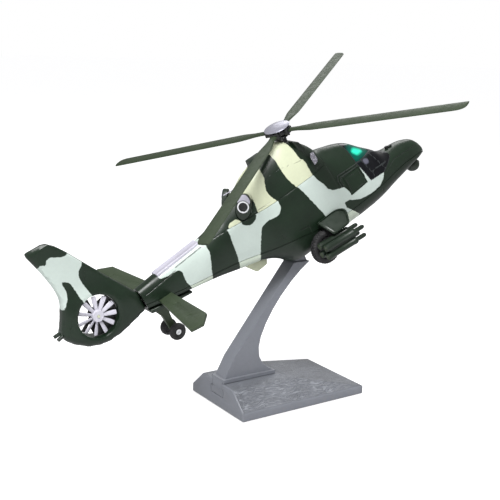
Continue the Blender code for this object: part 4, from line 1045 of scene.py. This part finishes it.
def rotor():
    """Four blades on stacked plates and grips with bolts and pitch links, under a thin silver cap."""
    for k, angles in enumerate(zip(BLADE_AZIMUTHS, BLADE_DROOPS, BLADE_FEATHERS)):
        blade(f"rotor_blade_{k + 1}", *(math.radians(a) for a in angles))
    plates = [turned([(1.95, 1.7), (5.6, 1.7), (6.3, 1.3), (6.6, 0.6), (6.6, -0.8), (6.2, -1.5), (5.2, -2.2),
                      (1.95, -2.2)], HUB, "W", 48)]
    bolt = [(0.0, 2.1), (0.5, 2.1), (0.72, 1.9), (0.72, 1.3), (0.0, 1.3)]
    link = [(0.0, -1.9), (0.55, -1.9), (0.55, -3.9), (0.8, -4.2), (0.5, -4.7), (0.0, -4.7)]
    for azimuth in BLADE_AZIMUTHS:
        placed = at(*HUB) @ Matrix.Rotation(math.radians(azimuth), 4, "Z")
        plates.append(box((4.6, -3.1, -2.1), (8.5, 3.1, 1.6), 0.5, placed))
        plates += [turned(bolt, (7.3, y, 0), "W", 12, placed) for y in (-1.9, 1.9)]
        plates.append(turned(link, (5.0, 2.4, 0), "W", 12, placed))
    piece(merged(plates), "rotor_head", ["rotor_hub"], "black", "rotor")
    cap = turned([(0.0, 4.0), (2.0, 3.98), (5.0, 3.72), (7.2, 3.3), (8.1, 2.98), (8.4, 2.7), (8.3, 2.35),
                  (7.9, 2.2), (0.0, 2.2)], HUB, "W", 64)
    piece(cap, "hub_cap_disc", ["hub_cap"], "silver", "rotor", math.radians(40))


# --- running gear ---
def main_wheels():
    """Tyres with staggered lugs on both shoulders, and dished discs."""
    u, y, w = WHEEL
    half, lugs = 2.7, 36
    profile = mirrored([(7.0, half - 0.8), (7.6, half - 0.2), (8.4, half), (9.6, half - 0.1),
                        (10.4, half - 0.5), (10.8, half - 1.1), (10.95, half - 1.9), (10.95, 0.35),
                        (10.6, 0.2)])
    dish = [(0.0, 2.2), (1.3, 2.2), (1.7, 1.7), (2.4, 0.9), (4.2, 0.6), (5.4, 0.9), (6.0, 1.9), (6.7, 2.2),
            (6.7, -2.2), (6.0, -1.9), (5.4, -0.9), (4.2, -0.6), (2.4, -0.9), (1.7, -1.7), (1.2, -2.2),
            (0.0, -2.2)]
    for side, name in SIDES:
        centre = (u, side * y, w)
        tyre = turned(profile, centre, "Y", 144)
        co = np.array([v.co for v in tyre.data.vertices]) / MM
        angle = np.arctan2(co[:, 2] - w, co[:, 0] - u)
        reach = np.hypot(co[:, 2] - w, co[:, 0] - u)
        phase = (angle / TAU * lugs + (co[:, 1] > side * y) * 0.5) % 1.0
        scale = (reach - np.where((reach > 10.3) & (phase < 0.3), 0.42, 0.0)) / reach
        co[:, 0] = u + (co[:, 0] - u) * scale
        co[:, 2] = w + (co[:, 2] - w) * scale
        tyre.data.vertices.foreach_set("co", (co * MM).ravel().astype(np.float32))
        tyre.data.update()
        piece(tyre, f"main_tyre_{name}_tread", [f"main_tyre_{name}"], "rubber", "main_wheels",
              TYRE_SHARP)
        disc = turned(dish, centre, "Y", 48)
        piece(disc, f"wheel_disc_{name}", [f"wheel_hub_{name}"], "black", "main_wheels")


def tail_wheels():
    u, y, w = TAIL_WHEEL
    half, radius = 1.7, 5.2
    profile = mirrored([(1.1, half - 0.3), (2.0, half - 0.3), (2.3, half - 0.5), (2.7, half - 0.45),
                        (3.2, half), (4.2, half), (4.8, half - 0.3), (5.1, half - 0.8), (radius, 0.5),
                        (4.95, 0.3)])
    for side, name in SIDES:
        tyre = turned(profile, (u, side * y, w), "Y", 72)
        piece(tyre, f"tail_tyre_{name}", [f"tail_wheel_{name}"], "rubber", "tail_wheels",
              TYRE_SHARP)
    axle = [turned([(0.0, -6.6), (0.8, -6.6), (0.8, 6.6), (0.0, 6.6)], (u, 0, w), "Y", 24),
            turned([(0.0, -0.8), (0.8, -0.8), (0.8, 0.8), (0.0, 0.8)], (u, 0, w), "Y", 20)]
    cap = [(0.5, 0.0), (1.6, 0.0), (1.7, 0.35), (1.4, 0.75), (0.75, 0.8), (0.5, 0.55)]
    for side, _ in SIDES:
        axle.append(turned([(r, side * h) for r, h in cap], (u, side * (y + 1.1), w), "Y", 28))
    piece(merged(axle), "tail_axle_caps", ["tail_wheel_axle"], "white", "tail_wheels")


def stabiliser():
    """A tailplane that rises to its tips, with shallow dimples on top, and the fairing under the boom."""
    half = 0.9
    count = len(TAILPLANE)
    verts, faces = [], []
    for side, _ in SIDES:
        start = len(verts)
        for lift in (-half, half):
            verts += [(u, side * y, TAILPLANE_W + TAILPLANE_RISE * y + lift) for u, y in TAILPLANE]
        low, high = list(range(start, start + count)), list(range(start + count, start + 2 * count))
        faces += [tuple(low), tuple(high)]
        faces += [(low[k], low[k + 1], high[k + 1], high[k]) for k in range(count - 1)]
    obj = new_object("tailplane", verts, faces)
    cutters = []
    for side, _ in SIDES:
        lean = Matrix.Rotation(side * math.atan(TAILPLANE_RISE), 4, "X")
        for y, u in ((48.0, -116.6), (24.0, -112.0)):
            seat = at(u, side * y, TAILPLANE_W + TAILPLANE_RISE * y) @ lean
            cutters.append(prism(circle(1.5, 28), 0.75, 2.0, "W", seat))
    carve(obj, *cutters)
    bevelled(obj, 0.4, 3, 40)
    piece(obj, "tailplane", ["stabiliser"], "olive")
    block = prism([(-121.4, -49.7), (-93.2, -55.3), (-93.2, -57.0), (-108.0, -54.8), (-121.4, -52.2)],
                  -5.2, 5.2)
    bevelled(block, 0.7, 3, 30)
    piece(block, "tail_fairing", ["tail_block"], "green")


def spine():
    """The pale strip along the boom's back, with a ridge down each side."""
    edge = ((-3.6, -1.2), (-3.5, 0.1), (-3.1, 0.55), (-2.4, 0.6), (-2.1, 0.3))
    section = edge + tuple((-y, h) for y, h in reversed(edge))
    rows = [[(u, y, float(top_at(u)) + h) for y, h in section] for u in np.linspace(-107.6, -75.4, 26)]
    piece(new_object("spine", *grid(rows, closed=True)), "boom_spine", [], "spine",
          angle=math.radians(50))


def small_details():
    """Rails round the doors, the nose probe, the block and aerial by the mast, and the tail's fork."""
    outer = ((43.0, -47.4), (36.0, -46.8), (30.0, -46.2), (24.2, -45.6), (22.8, -49.0), (23.6, -53.2))
    inner = ((41.8, -48.9), (35.0, -48.4), (30.0, -47.9), (26.0, -47.5), (24.8, -49.6), (25.4, -53.6))
    for side, name in SIDES:
        lines = [rod([(u, side * (side_y(u, w) + 0.15), w) for u, w in path], 0.32)
                 for path in (outer, inner)]
        piece(merged(lines), f"door_rails_{name}", [], "rail")
    probe = [box((77.4, -0.9, -59.4), (79.4, 0.9, -57.2), 0.2),
             box((78.8, -0.5, -59.4), (83.0, 0.5, -58.2), 0.2)]
    piece(merged(probe), "nose_probe", [], "black")
    lump = prism([(7.4, -11.6), (11.2, -13.6), (14.4, -20.0), (12.6, -23.0), (8.2, -18.0)], -8.6, 8.6)
    bevelled(lump, 1.0, 3, 30)
    piece(lump, "cowl_front_block", [], "green")
    aerial = [rod([(-33.6, -2.0, -19.0), (-40.0, -2.0, -18.0), (-47.6, -2.0, -17.4)], 0.3),
              rod([(-35.0, -2.0, -21.0), (-35.0, -2.0, -18.6)], 0.4)]
    piece(merged(aerial), "cowl_aerial", [], "spine")
    prong = ((-168.6, 1.6, -31.2), (-172.0, 2.4, -31.8), (-174.6, 3.0, -32.0))
    forks = [rod([(u, side * y, w) for u, y, w in prong], 1.1) for side, _ in SIDES]
    piece(merged(forks), "tail_fork", [], "green")


# --- nodes whose CAD shape stays ---
KEPT = {
    "steel": ("hull_screw_1", "hull_screw_2", "hull_screw_3", "main_axle", "rotor_mast", "button_cell_1",
              "button_cell_2", "button_cell_3"),
    "green": ("battery_cover",),
    "olive": ("tail_wheel_strut",),
    "black": ("swashplate", "speaker", "cockpit_tub", "fan_spider"),
    "white": ("axle_gear", "idler_gear", "spring_barrel"),
    "silver": ("motor_frame",),
    "board": ("circuit_board",),
    "lamp": ("cockpit_led",),
    "cream": ("fan_axle",),
}


def kept_nodes():
    """Give each node whose CAD shape is shown its detailed material."""
    for material, names in KEPT.items():
        for name in names:
            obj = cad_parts[name]
            for slot in obj.material_slots:
                slot.link = "OBJECT"
                slot.material = MATERIALS[material]
            shaded(obj)


# --- studio ---
def area_light(name, location, target, size, power):
    data = bpy.data.lights.new(name, "AREA")
    data.shape = "RECTANGLE"
    data.size, data.size_y = size
    data.energy = power
    obj = linked(name, data)
    obj.location = location
    obj.rotation_euler = (Vector(target) - Vector(location)).to_track_quat("-Z", "Y").to_euler()


def studio():
    """A pale floor and an even white surround, brighter to the camera than they light the model."""
    floor_material = Graph("floor", 0.9, Emission_Color=(1.0, 1.0, 1.0, 1.0))
    floor_material.colour(tinted(floor_material, (0.62, 0.62, 0.63), 0.006, 400.0, 40.0))
    seen = floor_material.node("LightPath").outputs["Is Camera Ray"]
    floor_material.links.new(floor_material.ramp(seen, 0.0, 1.0, 0.0, 0.72),
                             floor_material.shader.inputs["Emission Strength"])
    mesh = bpy.data.meshes.new("floor")
    reach, level_z = 12.0, -0.0004
    corners = rectangle(-reach, -reach, reach, reach)
    mesh.from_pydata([(x, y, level_z) for x, y in corners], [], [(0, 1, 2, 3)])
    floor = linked("floor", mesh)
    floor.data.materials.append(floor_material.material)
    world = bpy.data.worlds.new("studio")
    world.use_nodes = True
    nodes, links = world.node_tree.nodes, world.node_tree.links
    nodes["Background"].inputs[0].default_value = (1.0, 1.0, 1.0, 1.0)
    path = nodes.new("ShaderNodeLightPath")
    level = nodes.new("ShaderNodeMapRange")
    level.inputs["To Min"].default_value = 0.42
    level.inputs["To Max"].default_value = 1.0
    links.new(path.outputs["Is Camera Ray"], level.inputs["Value"])
    links.new(level.outputs["Result"], nodes["Background"].inputs[1])
    scene = bpy.context.scene
    scene.world = world
    scene.view_settings.view_transform = "Standard"
    scene.view_settings.look = "None"
    area_light("key", (-0.35, -0.45, 0.95), (0, 0, 0.1), (0.5, 0.35), 13.0)
    area_light("fill", (-0.9, -0.2, 0.35), (0, 0, 0.1), (0.5, 0.5), 1.6)
    area_light("rim", (0.5, 0.7, 0.8), (0, 0, 0.12), (0.6, 0.4), 2.5)


def camera():
    """A three-quarter view from behind; lens and picture centre are in pixels of a square frame."""
    side_px, focal_px, middle_px = 500, 904.24, (273.1, 224.8)
    right = Vector((0.81864885, -0.57331259, 0.03356703))
    up = Vector((0.08337827, 0.17648128, 0.98076624))
    forward = Vector((0.56820958, 0.80010439, -0.19227801))
    matrix = Matrix((right, up, -forward)).transposed().to_4x4()
    matrix.translation = Vector((-331.310, -454.547, 222.016)) * MM
    data = bpy.data.cameras.new("camera")
    data.sensor_width = 36.0
    data.lens = focal_px / side_px * data.sensor_width
    data.shift_x = (side_px / 2 - middle_px[0]) / side_px
    data.shift_y = (middle_px[1] - side_px / 2) / side_px
    data.clip_start = 0.01
    data.clip_end = 50.0
    obj = linked("camera", data)
    obj.matrix_world = matrix
    bpy.context.scene.camera = obj


stand()
hull()
cowling()
glazing()
doors()
exhausts()
for side_sign, side_name in SIDES:
    wing(side_sign, side_name)
    rack(side_sign, side_name)
    intake(side_sign, side_name)
small_fittings()
fins()
fan()
rotor()
main_wheels()
tail_wheels()
stabiliser()
spine()
small_details()
kept_nodes()
studio()
camera()

bpy.context.view_layer.update()
